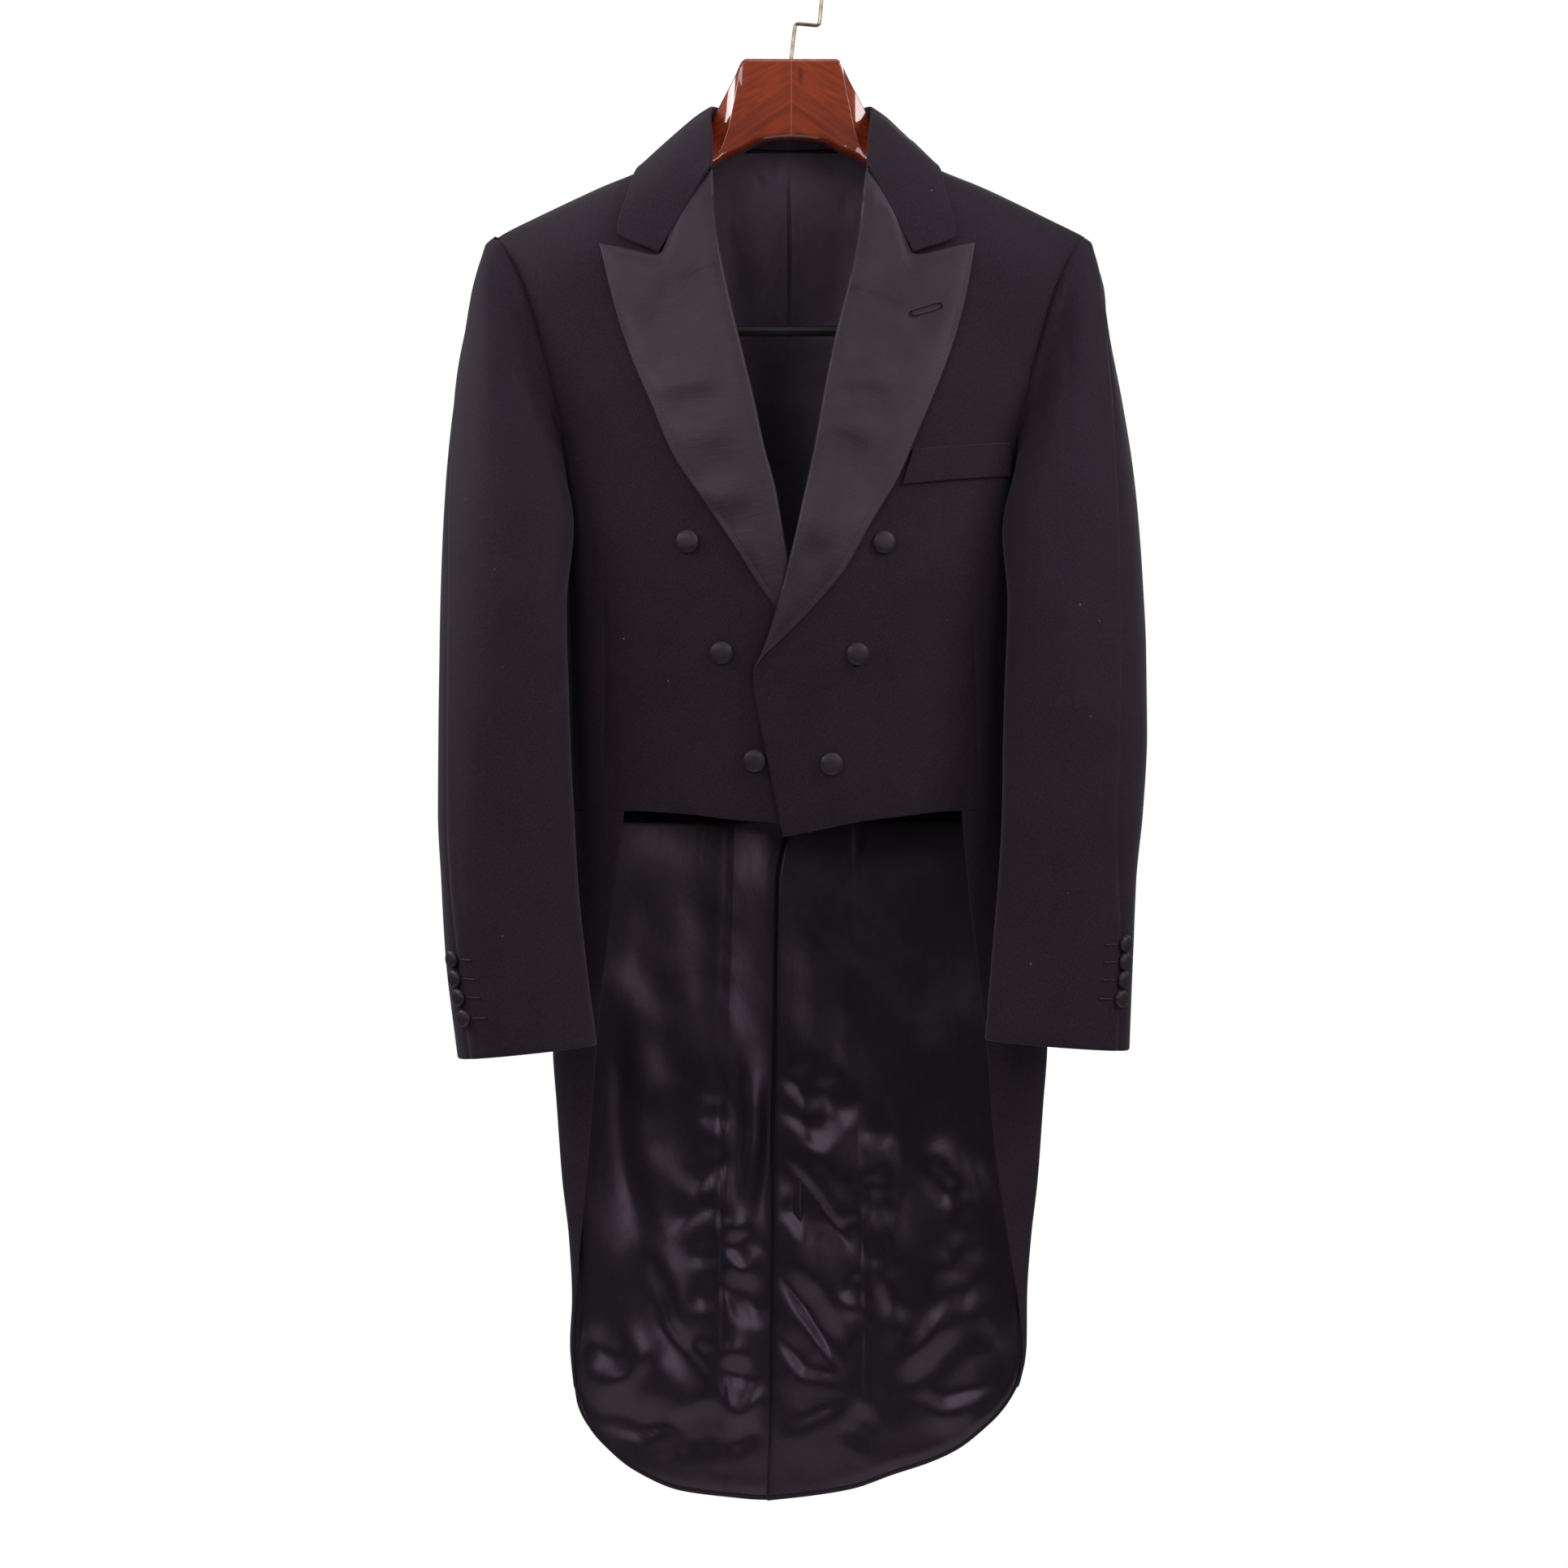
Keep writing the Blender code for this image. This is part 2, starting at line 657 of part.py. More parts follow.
def lapel_grid(side, cols=5, rows=13):
    """Turned-back lapel: roll line to outer edge, with the gorge and the peak along its top."""
    table = LAPEL[side]
    cells, outer, inner = [], [], []
    for i in range(rows):
        s = i / (rows - 1)
        s = s + 0.10 * math.sin(math.pi * s) * (s - 0.35)
        roll = np.array((table("roll_x", s), table("roll_z", s)))
        edge = np.array((table("edge_x", s), table("edge_z", s)))
        span = np.linalg.norm(edge - roll)
        wrap = (1 - smoothstep(0.84, 0.92, s)) * smoothstep(0.0, 0.07, s)
        clear = 0.45 + 1.4 * (1 - smoothstep(0.1, 0.4, s))
        first = min(2.4 / span, 0.3)
        row, out, into = [], [], []
        for j in range(cols + 1):
            f = 0.0 if j == 0 else first + (1 - first) * (j - 1) / (cols - 1)
            straight = roll * (1 - f) + edge * f
            top = np.array((GORGE(side + "_x", f), GORGE(side + "_z", f)))
            level = np.array((table("roll_x", 0), table("roll_z", 0))) * (1 - f)
            level = level + np.array((table("edge_x", 0), table("edge_z", 0))) * f
            xz = straight + (top - level) * max(1 - s / 0.45, 0.0) ** 2
            point, normal = form_x(side, xz[0], xz[1])
            lift = front_lift(xz[0], xz[1]) if side == "left" else 0.0
            belly = 1.4 * wrap * (1 - f) ** 4
            low = clear + belly
            if j == 0:
                low = low * (1 - wrap) + -1.4 * wrap
            row.append((point, normal))
            out.append(lift + clear + SATIN + belly)
            into.append(lift + low)
        cells.append(row)
        outer.append(out)
        inner.append(into)
    return *grid_of(cells), np.array(outer), np.array(inner)


def sleeve_point(side, r, theta):
    """Point on the sleeve's outer face: r counts rings from the armhole, theta turns from the outer side over the front."""
    table = SLEEVE[side]
    outer, inner = table("outer_x", r), table("inner_x", r)
    outer_z, inner_z = table("outer_z", r), table("inner_z", r)
    skew = table("skew", r)
    amp = (outer - inner) / 2
    half = math.sqrt(max(amp * amp - skew * skew, 1.0))
    c, s = math.cos(theta), math.sin(theta)
    power = 2 / 2.25
    cc, ss = math.copysign(abs(c) ** power, c), math.copysign(abs(s) ** power, s)
    x = (outer + inner) / 2 + half * cc - skew * ss + table("bow", r) * ss * ss
    z = (outer_z + inner_z) / 2 + (outer_z - inner_z) / 2 * cc
    y = table("mid", r) - table("half", r) * ss
    p = np.array((x, y, z))
    if r < 2:
        middle, lift = (SHOULDER_TIP + UNDERARM) / 2, (SHOULDER_TIP - UNDERARM) / 2
        arm_z = middle + lift * c
        arm = form(side, armhole_t(arm_z, s < 0), arm_z)[0]
        start = sleeve_start(side, theta)
        p = p + (arm - start) * (1 - r / 2) ** 2
    return p


def sleeve_start(side, theta):
    table = SLEEVE[side]
    c, s = math.cos(theta), math.sin(theta)
    power = 2 / 2.25
    cc, ss = math.copysign(abs(c) ** power, c), math.copysign(abs(s) ** power, s)
    outer, inner = table("outer_x", 0), table("inner_x", 0)
    outer_z, inner_z = table("outer_z", 0), table("inner_z", 0)
    return np.array(
        (
            (outer + inner) / 2 + (outer - inner) / 2 * cc + table("bow", 0) * ss * ss,
            table("mid", 0) - table("half", 0) * ss,
            (outer_z + inner_z) / 2 + (outer_z - inner_z) / 2 * cc,
        )
    )


def sleeve_frame(side, r, theta):
    p = sleeve_point(side, r, theta)
    e, g = 0.05, 0.03
    across = sleeve_point(side, r, theta + e) - sleeve_point(side, r, theta - e)
    low, high = min(r + g, 12.0), max(r - g, 0.0)
    along = sleeve_point(side, low, theta) - sleeve_point(side, high, theta)
    n = np.cross(across, along)
    n /= np.linalg.norm(n)
    middle = (sleeve_point(side, r, 0) + sleeve_point(side, r, math.pi)) / 2
    if np.dot(n, p - middle) < 0:
        n = -n
    return p, n


SLEEVE_ROWS = (0.22, 1, 2, 3, 4, 5, 6, 7, 8, 9, 10, 11, 12)


def sleeve_grid(side, under, cols):
    cells = []
    for r in SLEEVE_ROWS:
        hind, front = SLEEVE[side]("hind", r), FRONT_SLEEVE_SEAM
        gap = 0.35
        first, last = (front + gap, 360 + hind - gap) if under else (hind + gap, front - gap)
        cells.append(
            [sleeve_frame(side, r, math.radians(first + (last - first) * j / cols)) for j in range(cols + 1)]
        )
    return grid_of(cells)


def collar_mid():
    """Mid-surface of the collar, from one notch round the back of the neck to the other."""
    return np.concatenate([collar_half("right")[:0:-1] * np.array((-1, 1, 1)), collar_half("left")])


def collar_half(side):
    half = []
    for k in range(9):
        wide = (side == "right") * 1.0
        fold_dx, leaf_dx, leaf_dz = (wide * COLLAR_RIGHT(c, k) for c in ("fold_dx", "leaf_dx", "leaf_dz"))
        seam = form_x(side, COLLAR("seam_x", k) + fold_dx, COLLAR("seam_z", k), COLLAR("seam_face", k) > 0)
        neck = seam[0] - seam[1] * 1.1
        neck[2] = max(neck[2], COLLAR("seam_z", k))
        fold = np.array((COLLAR("fold_x", k) + fold_dx, COLLAR("fold_y", k), COLLAR("fold_z", k)))
        leaf_x, leaf_z = COLLAR("leaf_x", k) + leaf_dx, COLLAR("leaf_z", k) + leaf_dz
        point, normal = form_x(side, leaf_x, leaf_z, COLLAR("leaf_face", k) > 0)
        leaf = point + normal * 3.8
        away = leaf - neck
        away[2] = 0
        away /= max(np.linalg.norm(away), 1e-6)
        spread = smoothstep(8.2, 5.5, k)
        half.append(
            [
                neck,
                neck * 0.2 + fold * 0.8 - away * 1.4 * spread,
                fold,
                fold * 0.87 + leaf * 0.13 + away * 1.2 * spread + np.array((0, 0, 0.8)),
                fold * 0.5 + leaf * 0.5 + normal * 1.5,
                leaf,
            ]
        )
    return np.array(half)


def grid_normals(points):
    """Normals of a grid from its own neighbours."""
    du = np.gradient(points, axis=0)
    dv = np.gradient(points, axis=1)
    n = np.cross(du, dv)
    return n / np.linalg.norm(n, axis=-1, keepdims=True)


def pocket_grid():
    """Breast pocket welt: four corners, the left end cut along the lapel's edge."""
    corners = {
        "top_in": (91.5, -393.5), "top_out": (166, -385.5),
        "low_in": (83.5, -420.5), "low_out": (167.5, -411.5),
    }
    cells = []
    for i in range(2):
        v = i
        row = []
        for j in range(6):
            f = j / 5
            top = np.array(corners["top_in"]) * (1 - f) + np.array(corners["top_out"]) * f
            low = np.array(corners["low_in"]) * (1 - f) + np.array(corners["low_out"]) * f
            x, z = top * (1 - v) + low * v
            row.append(form_x("left", x, z))
        cells.append(row)
    return grid_of(cells)


def button(name, sign, point, normal, diameter, material, sides=12):
    """A covered button: a low dome on a short foot, along the cloth's normal."""
    normal = normal / np.linalg.norm(normal)
    helper = np.array((0, 0, 1.0))
    u = np.cross(helper, normal)
    u /= np.linalg.norm(u)
    v = np.cross(normal, u)
    radius = diameter / 2
    profile = Table(
        "k radius height",
        ((0, 0.62, 0.3), (1, 0.93, 1.1), (2, 1.0, 2.2), (3, 0.90, 3.7), (4, 0.55, 4.9)),
    )
    points, faces = [], []
    for k in range(5):
        for j in range(sides):
            a = 2 * math.pi * j / sides
            rho = profile("radius", k) * radius
            p = point + normal * profile("height", k) + rho * (math.cos(a) * u + math.sin(a) * v)
            points.append(p)
    points.append(point + normal * 0.3)
    points.append(point + normal * 5.3)
    low, top = len(points) - 2, len(points) - 1
    for j in range(sides):
        n = (j + 1) % sides
        for k in range(4):
            a, b, c, d = k * sides + j, k * sides + n, (k + 1) * sides + n, (k + 1) * sides + j
            faces += [(a, b, c), (a, c, d)]
        faces.append((low, n, j))
        faces.append((4 * sides + j, 4 * sides + n, top))
    verts = np.array(points) * np.array((sign, 1, 1)) * MM
    return add_mesh(name, verts, outward(verts, faces), material, 50)


def tube(name, path, diameter, material, resolution=2):
    """A rod along a smooth path, with filled ends."""
    curve = bpy.data.curves.new(name, "CURVE")
    curve.dimensions = "3D"
    curve.bevel_depth = diameter / 2 * MM
    curve.bevel_resolution = resolution
    curve.use_fill_caps = True
    spline = curve.splines.new("POLY")
    spline.points.add(len(path) - 1)
    for point, at in zip(spline.points, path):
        point.co = (*(float(c) * MM for c in at), 1)
    curve.materials.append(material)
    obj = bpy.data.objects.new(name, curve)
    bpy.context.scene.collection.objects.link(obj)
    return obj


def rounded_path(corners, steps=3):
    """Points along a polyline whose corners, each with its own radius, are turned into arcs."""
    points = [np.array(corners[0][0], float)]
    for (a, _), (b, radius), (c, _) in zip(corners, corners[1:], corners[2:]):
        a, b, c = (np.array(p, float) for p in (a, b, c))
        into, out = (a - b) / np.linalg.norm(a - b), (c - b) / np.linalg.norm(c - b)
        half = math.acos(float(np.clip(np.dot(into, out), -1, 1))) / 2
        reach = radius / math.tan(half)
        start, end = b + into * reach, b + out * reach
        for k in range(steps + 1):
            t = k / steps
            points.append(start * (1 - t) ** 2 + b * 2 * t * (1 - t) + end * t**2)
    points.append(np.array(corners[-1][0], float))
    return points


def hook_path():
    """Out of the wood, through the joggle, up and round the open loop over the rail."""
    top = HOOK_WIRE / 2
    centre = np.array((0.5, 0.0, top - HOOK_RADIUS))
    rise = (centre[0] + HOOK_RADIUS, 0.0, centre[2])
    path = rounded_path(
        (
            ((0, 0, -103), 0),
            ((0, 0, -83), 12),
            ((3.2, 0, -56.2), 3.2),
            ((21.8, 0, -58.0), 3.2),
            (rise, 0),
        )
    )
    path = path[:-1]
    for k in range(1, 13):
        a = math.radians(-8 + k * 17.0)
        path.append(centre + HOOK_RADIUS * np.array((math.cos(a), 0, math.sin(a))))
    return path


def bar_path():
    """Lower bar: a rod slung between the arms, its legs rising into their undersides."""
    leg, low, depth = 150.0, -296.0, -6.0
    top = HANGER("under", leg) - 4.6
    return rounded_path(
        (((-leg, depth, top), 0), ((-leg, depth, low), 14), ((leg, depth, low), 14), ((leg, depth, top), 0)), 6
    )


def hanger_mesh():
    """Wooden body: eight-sided sections across, bevelled on the front and the back."""
    stations = [-x for x in HANGER.data[:0:-1, 0]] + list(HANGER.data[:, 0])
    points, faces = [], []
    for x in stations:
        at = {name: HANGER(name, abs(x)) for name in HANGER.names}
        lower = min(5.0, (at["bevel"] - at["under"]) * 0.45)
        section = (
            (-at["crown"], at["top"]), (at["front"], at["bevel"]), (at["front"], at["under"] + lower * 0.4),
            (at["front"] + 2.5, at["under"]), (at["back"] - 2.5, at["under"]), (at["back"], at["under"] + lower * 0.4),
            (at["back"], at["bevel"]), (at["crown"], at["top"]),
        )
        points += [(x, y, z) for y, z in section]
    n = 8
    for i in range(len(stations) - 1):
        for j in range(n):
            k = (j + 1) % n
            a, b, c, d = i * n + j, i * n + k, (i + 1) * n + k, (i + 1) * n + j
            faces += [(a, b, c), (a, c, d)]
    last = (len(stations) - 1) * n
    for j in range(1, n - 1):
        faces.append((0, j + 1, j))
        faces.append((last, last + j, last + j + 1))
    return np.array(points, float) * MM, faces


def material(name, colour, roughness, metallic=0.0):
    made = bpy.data.materials.new(name)
    made.use_nodes = True
    made.diffuse_color = (*colour, 1)
    shader = made.node_tree.nodes["Principled BSDF"]
    shader.inputs["Base Color"].default_value = (*colour, 1)
    shader.inputs["Roughness"].default_value = roughness
    shader.inputs["Metallic"].default_value = metallic
    return made


def main():
    for obj in list(bpy.data.objects):
        bpy.data.objects.remove(obj, do_unlink=True)

    def cloth(name):
        return material(name, (0.018, 0.014, 0.018), 0.85)

    def satin(name):
        return material(name, (0.045, 0.038, 0.045), 0.42)

    def silk(name):
        return material(name, (0.022, 0.017, 0.022), 0.38)

    for side, sign in (("left", 1), ("right", -1)):
        points, normals, lift = front_panel(side)
        shell(f"front_{side}", sign, points, normals, lift, lift - WOOL, cloth(f"front_{side}"))
        points, normals = side_panel(side)
        shell(f"side_{side}", sign, points, normals, 0, -WOOL, cloth(f"side_{side}"))
        points, normals, lift, waist = back_panel(side)
        shell(f"back_{side}", sign, points, normals, lift, lift - WOOL, cloth(f"back_{side}"))
        skirt = skirt_panel(side)
        shell(f"skirt_{side}", sign, *skirt, 0, -WOOL, cloth(f"skirt_{side}"))
        points, normals, lift = tail_lining(skirt, (points[waist:], normals[waist:]), lift[waist:])
        shell(
            f"lining_tail_{side}", sign, points, normals,
            lift - WOOL - 0.9, lift - WOOL - 0.9 - LINING, silk(f"lining_tail_{side}"),
        )
        points, normals, outer, inner = lapel_grid(side)
        shell(f"lapel_{side}", sign, points, normals, outer, inner, satin(f"lapel_{side}"))
        for part, under, cols in (("top", False, 7), ("under", True, 7)):
            points, normals = sleeve_grid(side, under, cols)
            shell(
                f"sleeve_{part}_{side}", sign, points, normals, 0, -WOOL, cloth(f"sleeve_{part}_{side}")
            )

    mid = collar_mid()
    normals = grid_normals(mid)
    shell("collar", 1, mid, normals, 1.1, -1.1, cloth("collar"))

    points, normals = pocket_grid()
    shell("pocket_welt", 1, points, normals, 1.1 + 1.6, 1.1, cloth("pocket_welt"))

    # Back lining, seen in the neck and under the front hem.
    points, normals = back_lining()
    low = -WOOL - 2.2
    shell("lining_back", 1, points, normals, low, low - LINING, silk("lining_back"))

    # Front buttons, three a side.
    FRONT_BUTTONS = Table(
        "k left_x left_z right_x right_z",
        ((1, 69.9, -464.4, 78.6, -463.8), (2, 49.6, -548.5, 52.8, -547.9), (3, 30.0, -631.3, 27.9, -629.5)),
    )
    for k in (1, 2, 3):
        for side, sign, first in (("left", 1, 0), ("right", -1, 3)):
            x, z = FRONT_BUTTONS(side + "_x", k), FRONT_BUTTONS(side + "_z", k)
            point, normal = form_x(side, x, z)
            lift = front_lift(x, z) if side == "left" else 0.0
            name = f"front_button_{first + k}"
            button(name, sign, point + normal * (lift + 0.9), normal, FRONT_BUTTON, satin(name))

    # Cuff buttons, four a sleeve, on the hind seam.
    CUFF_BUTTONS = Table(
        "k left_r left_turn right_r right_turn",
        ((1, 10.85, 27, 11.0, 24), (2, 11.06, 27, 11.21, 26), (3, 11.26, 28, 11.40, 29), (4, 11.46, 31, 11.60, 33)),
    )
    for k in (1, 2, 3, 4):
        for side, sign in (("left", 1), ("right", -1)):
            r, turn = CUFF_BUTTONS(side + "_r", k), math.radians(CUFF_BUTTONS(side + "_turn", k))
            point, normal = sleeve_frame(side, r, turn)
            name = f"cuff_button_{side}_{k}"
            button(name, sign, point + normal * 0.5, normal, CUFF_BUTTON, satin(name), 8)

    # Waist buttons at the top of the back pleats.
    for side, sign in (("left", 1), ("right", -1)):
        point, normal = form_x(side, 45, WAIST + 8, True)
        name = f"waist_button_{side}"
        button(name, sign, point + normal * 0.4, normal, FRONT_BUTTON, satin(name), 12)

    # Hanger.
    wood = material("hanger_body", (0.18, 0.035, 0.012), 0.12)
    points, faces = hanger_mesh()
    body = add_mesh("hanger_body", points, outward(points, faces), wood, 25)
    bpy.ops.mesh.primitive_cylinder_add(
        vertices=12, radius=(HOOK_WIRE / 2 + 0.35) * MM, depth=0.040, location=(0, 0, -0.084)
    )
    cutter = bpy.context.object
    cutter.name = "hook_bore"
    cutter.hide_render = True
    cutter.display_type = "WIRE"
    cut = body.modifiers.new("hook_bore", "BOOLEAN")
    cut.operation = "DIFFERENCE"
    cut.object = cutter
    tube("hanger_hook", hook_path(), HOOK_WIRE, material("hanger_hook", (0.72, 0.62, 0.48), 0.22, 1.0))
    tube("hanger_bar", bar_path(), BAR_ROD, material("hanger_bar", (0.03, 0.028, 0.028), 0.5))


main()
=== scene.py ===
"""Looks of the evening tailcoat on its hanger.

Metres in the frame; the garment is laid out in millimetres on the same master
form as its solids, at a finer pitch, with its creases placed one by one. The
wearer's left is +X and the coat faces -Y.
"""

import math

import bpy
import numpy as np
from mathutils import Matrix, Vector


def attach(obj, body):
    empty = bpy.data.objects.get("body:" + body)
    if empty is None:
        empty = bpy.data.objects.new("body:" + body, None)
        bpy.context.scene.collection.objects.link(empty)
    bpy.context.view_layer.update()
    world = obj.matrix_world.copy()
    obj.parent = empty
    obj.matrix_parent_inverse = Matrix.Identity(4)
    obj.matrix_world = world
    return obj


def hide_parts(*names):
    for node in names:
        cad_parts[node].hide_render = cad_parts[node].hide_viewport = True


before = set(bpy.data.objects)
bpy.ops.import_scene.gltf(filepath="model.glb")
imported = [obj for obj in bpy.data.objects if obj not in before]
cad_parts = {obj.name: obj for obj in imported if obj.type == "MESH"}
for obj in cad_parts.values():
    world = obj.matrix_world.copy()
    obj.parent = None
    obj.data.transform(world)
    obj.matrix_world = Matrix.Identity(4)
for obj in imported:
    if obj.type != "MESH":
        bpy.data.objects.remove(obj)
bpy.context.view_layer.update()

MM = 0.001

# Driving sizes, in millimetres.
WOOL = 2.0
SATIN = 1.8
LINING = 1.0
SEAM = 0.3
WAIST = -668.0
UNDERARM = -399.0
SHOULDER_TIP = -223.0
ARM_DART_FRONT, ARM_DART_BACK = 21.5, 24.0
SIDE_SEAM = 17.0
ROUND_FRONT, ROUND_BACK = 70.0, 55.0
OVERLAP_LIFT = 5.5
RING_POWER = 2.2
FRONT_BUTTON, CUFF_BUTTON = 17.4, 13.4


class Table:
    """Rows of named columns, read between rows with a monotone cubic on the first column."""

    def __init__(self, names, rows):
        self.names = names.split()
        data = np.array(rows, float)
        self.data = data if data[0, 0] < data[-1, 0] else data[::-1]
        x = self.data[:, 0]
        h = np.diff(x)
        self.slopes = np.zeros_like(self.data)
        for c in range(1, data.shape[1]):
            d = np.diff(self.data[:, c]) / h
            m = self.slopes[:, c]
            m[0], m[-1] = d[0], d[-1]
            for i in range(1, len(x) - 1):
                if d[i - 1] * d[i] > 0:
                    w1, w2 = 2 * h[i] + h[i - 1], h[i] + 2 * h[i - 1]
                    m[i] = (w1 + w2) / (w1 / d[i - 1] + w2 / d[i])

    def __call__(self, name, key):
        c = self.names.index(name)
        x, y, m = self.data[:, 0], self.data[:, c], self.slopes[:, c]
        q = np.clip(np.asarray(key, float), x[0], x[-1])
        k = np.clip(np.searchsorted(x, q, side="right") - 1, 0, len(x) - 2)
        h = x[k + 1] - x[k]
        t = (q - x[k]) / h
        return (
            (2 * t**3 - 3 * t**2 + 1) * y[k]
            + (t**3 - 2 * t**2 + t) * h * m[k]
            + (-2 * t**3 + 3 * t**2) * y[k + 1]
            + (t**3 - t**2) * h * m[k + 1]
        )


BODY = Table(
    "z left right mid front back",
    (
        (-110, 236, 239, -6, 46, 50),
        (-200, 232, 235, -8, 58, 55),
        (-226, 227, 230, -8, 62, 58),
        (-264, 215, 217, -9, 67, 64),
        (-309, 203, 204, -11, 72, 70),
        (-346, 192, 193, -13, 76, 74),
        (-400, 177, 179, -15, 79, 78),
        (-480, 174, 176, -16, 80, 76),
        (-560, 172, 174, -16, 75, 70),
        (-620, 172, 173, -16, 69, 68),
        (-668, 173, 173, -15, 64, 67),
        (-720, 181, 177, -9, 50, 59),
        (-780, 191, 183, -1, 37, 52),
        (-850, 200, 186, 7, 30, 45),
        (-900, 197, 183, 11, 28, 42),
        (-955, 193, 179, 14, 26, 39),
        (-1000, 188, 174, 16, 25, 37),
        (-1050, 184.5, 171.5, 18, 24, 35),
        (-1083, 184, 173, 19, 24, 34),
        (-1124, 178, 171, 20, 24, 33),
        (-1230, 150, 140, 21, 24, 33),
    ),
)
SHOULDER = Table(
    "x z ridge",
    (
        (0, -110, 8),
        (40, -128, 7),
        (72, -150, 4),
        (119, -172, 1),
        (148, -184, -2),
        (173, -196, -4),
        (198, -208.5, -6),
        (215, -217, -7),
        (227, -223.5, -8),
        (245, -234, -8),
    ),
)
NECK = Table("x z", ((0, -150), (40, -149.5), (72, -150)))
LAPEL = {
    "left": Table(
        "s roll_x roll_z edge_x edge_z",
        (
            (0.00, 57, -178, 140, -234),
            (0.12, 51, -224, 134.5, -265),
            (0.25, 44, -263, 126, -300),
            (0.37, 34, -303, 113.5, -337),
            (0.50, 25, -347, 95.5, -380),
            (0.62, 17.5, -390, 79.5, -417),
            (0.73, 9, -430, 61, -448),
            (0.84, 0, -471, 40, -485),
            (0.93, -9.5, -509, 14, -516),
            (0.97, -19, -539, -8, -538),
            (1.00, -27, -559, -22.5, -551),
        ),
    ),
    "right": Table(
        "s roll_x roll_z edge_x edge_z",
        (
            (0.00, 60, -180, 146, -235),
            (0.12, 56, -228, 138.5, -266),
            (0.25, 47.5, -274, 129, -299.5),
            (0.37, 37, -318, 119, -328),
            (0.50, 28, -356, 106, -358),
            (0.62, 20, -393, 89, -398),
            (0.73, 12, -423, 66, -433),
            (0.84, 5, -462, 42, -469),
            (0.93, -3, -500, 18.5, -505),
            (0.97, -9, -520, 3, -522),
            (1.00, -15, -538, -9, -534),
        ),
    ),
}
GORGE = Table(
    "f left_x left_z right_x right_z",
    (
        (0.00, 57, -176, 60, -178),
        (0.22, 76.5, -200, 83, -201),
        (0.45, 94.8, -244, 101.5, -244),
        (0.72, 118, -239, 123, -239.5),
        (1.00, 140, -234, 146, -235),
    ),
)
FRONT_EDGE = {
    "left": Table(
        "z x",
        (
            (-146, 74), (-165, 67.5), (-182, 61.2), (-224, 54.6), (-263, 47.4), (-303, 37.4),
            (-347, 28.4), (-390, 20.9), (-430, 12.4), (-471, 3.4), (-509, -6.3), (-539, -17.5),
            (-564, -28.8), (-594, -24.7), (-625, -18.5), (-656, -12.3), (-686, -6.2),
        ),
    ),
    "right": Table(
        "z x",
        (
            (-146, 74), (-165, 69), (-182, 63.8), (-228, 59.6), (-274, 51), (-318, 40.4),
            (-356, 31.4), (-393, 23.4), (-423, 15.4), (-462, 8.4), (-500, 0.4), (-538, -12),
            (-564, -29), (-610, -20), (-656, -12), (-683, -6),
        ),
    ),
}
FRONT_HEM = {
    "left": Table("x z", ((-7, -686), (15, -682), (40, -677), (77, -673), (128, WAIST), (180, WAIST))),
    "right": Table("x z", ((-7, -680), (12, -677), (46, -674.5), (77, -670.5), (126, WAIST), (180, WAIST))),
}
BACK_SEAM = Table(
    "z x",
    (
        (-336, 181), (-380, 150), (-440, 113), (-520, 78), (-600, 54), (-668, 45),
        (-780, 48), (-880, 52.5), (-1000, 57.5), (-1117, 60.5), (-1210, 57),
    ),
)
VENT_EDGE = Table(
    "z left right",
    ((-640, 0.2, 0.2), (-664, 0.2, 0.2), (-680, -4, -4), (-728, -13, -9), (-880, -16, -12), (-1220, -19, -14)),
)
SKIRT_EDGE = Table(
    "z left right",
    (
        (-668, 130.5, 128), (-719, 135.5, 134), (-770, 141.5, 141.5), (-814, 147, 147.5), (-852, 151.5, 151),
        (-930, 158, 157), (-974, 164.5, 161.5), (-1010, 170.5, 165.5), (-1043, 176.5, 168.5), (-1077, 181.5, 171.5),
    ),
)
TAIL_HEM = {
    "left": Table(
        "x z",
        (
            (-20, -1213), (16, -1209), (48, -1203.5), (80, -1192), (111, -1181), (131, -1171),
            (153, -1153), (166, -1139), (177, -1120), (183, -1098),
        ),
    ),
    "right": Table(
        "x z",
        (
            (-20, -1206), (-2, -1211.5), (19, -1213), (48, -1210), (86, -1204.5), (124, -1187), (146, -1168),
            (159, -1152), (167.5, -1134), (171, -1110), (173, -1090),
        ),
    ),
}
SLEEVE_NAMES = "r outer_z outer_x inner_z inner_x mid half skew bow hind"
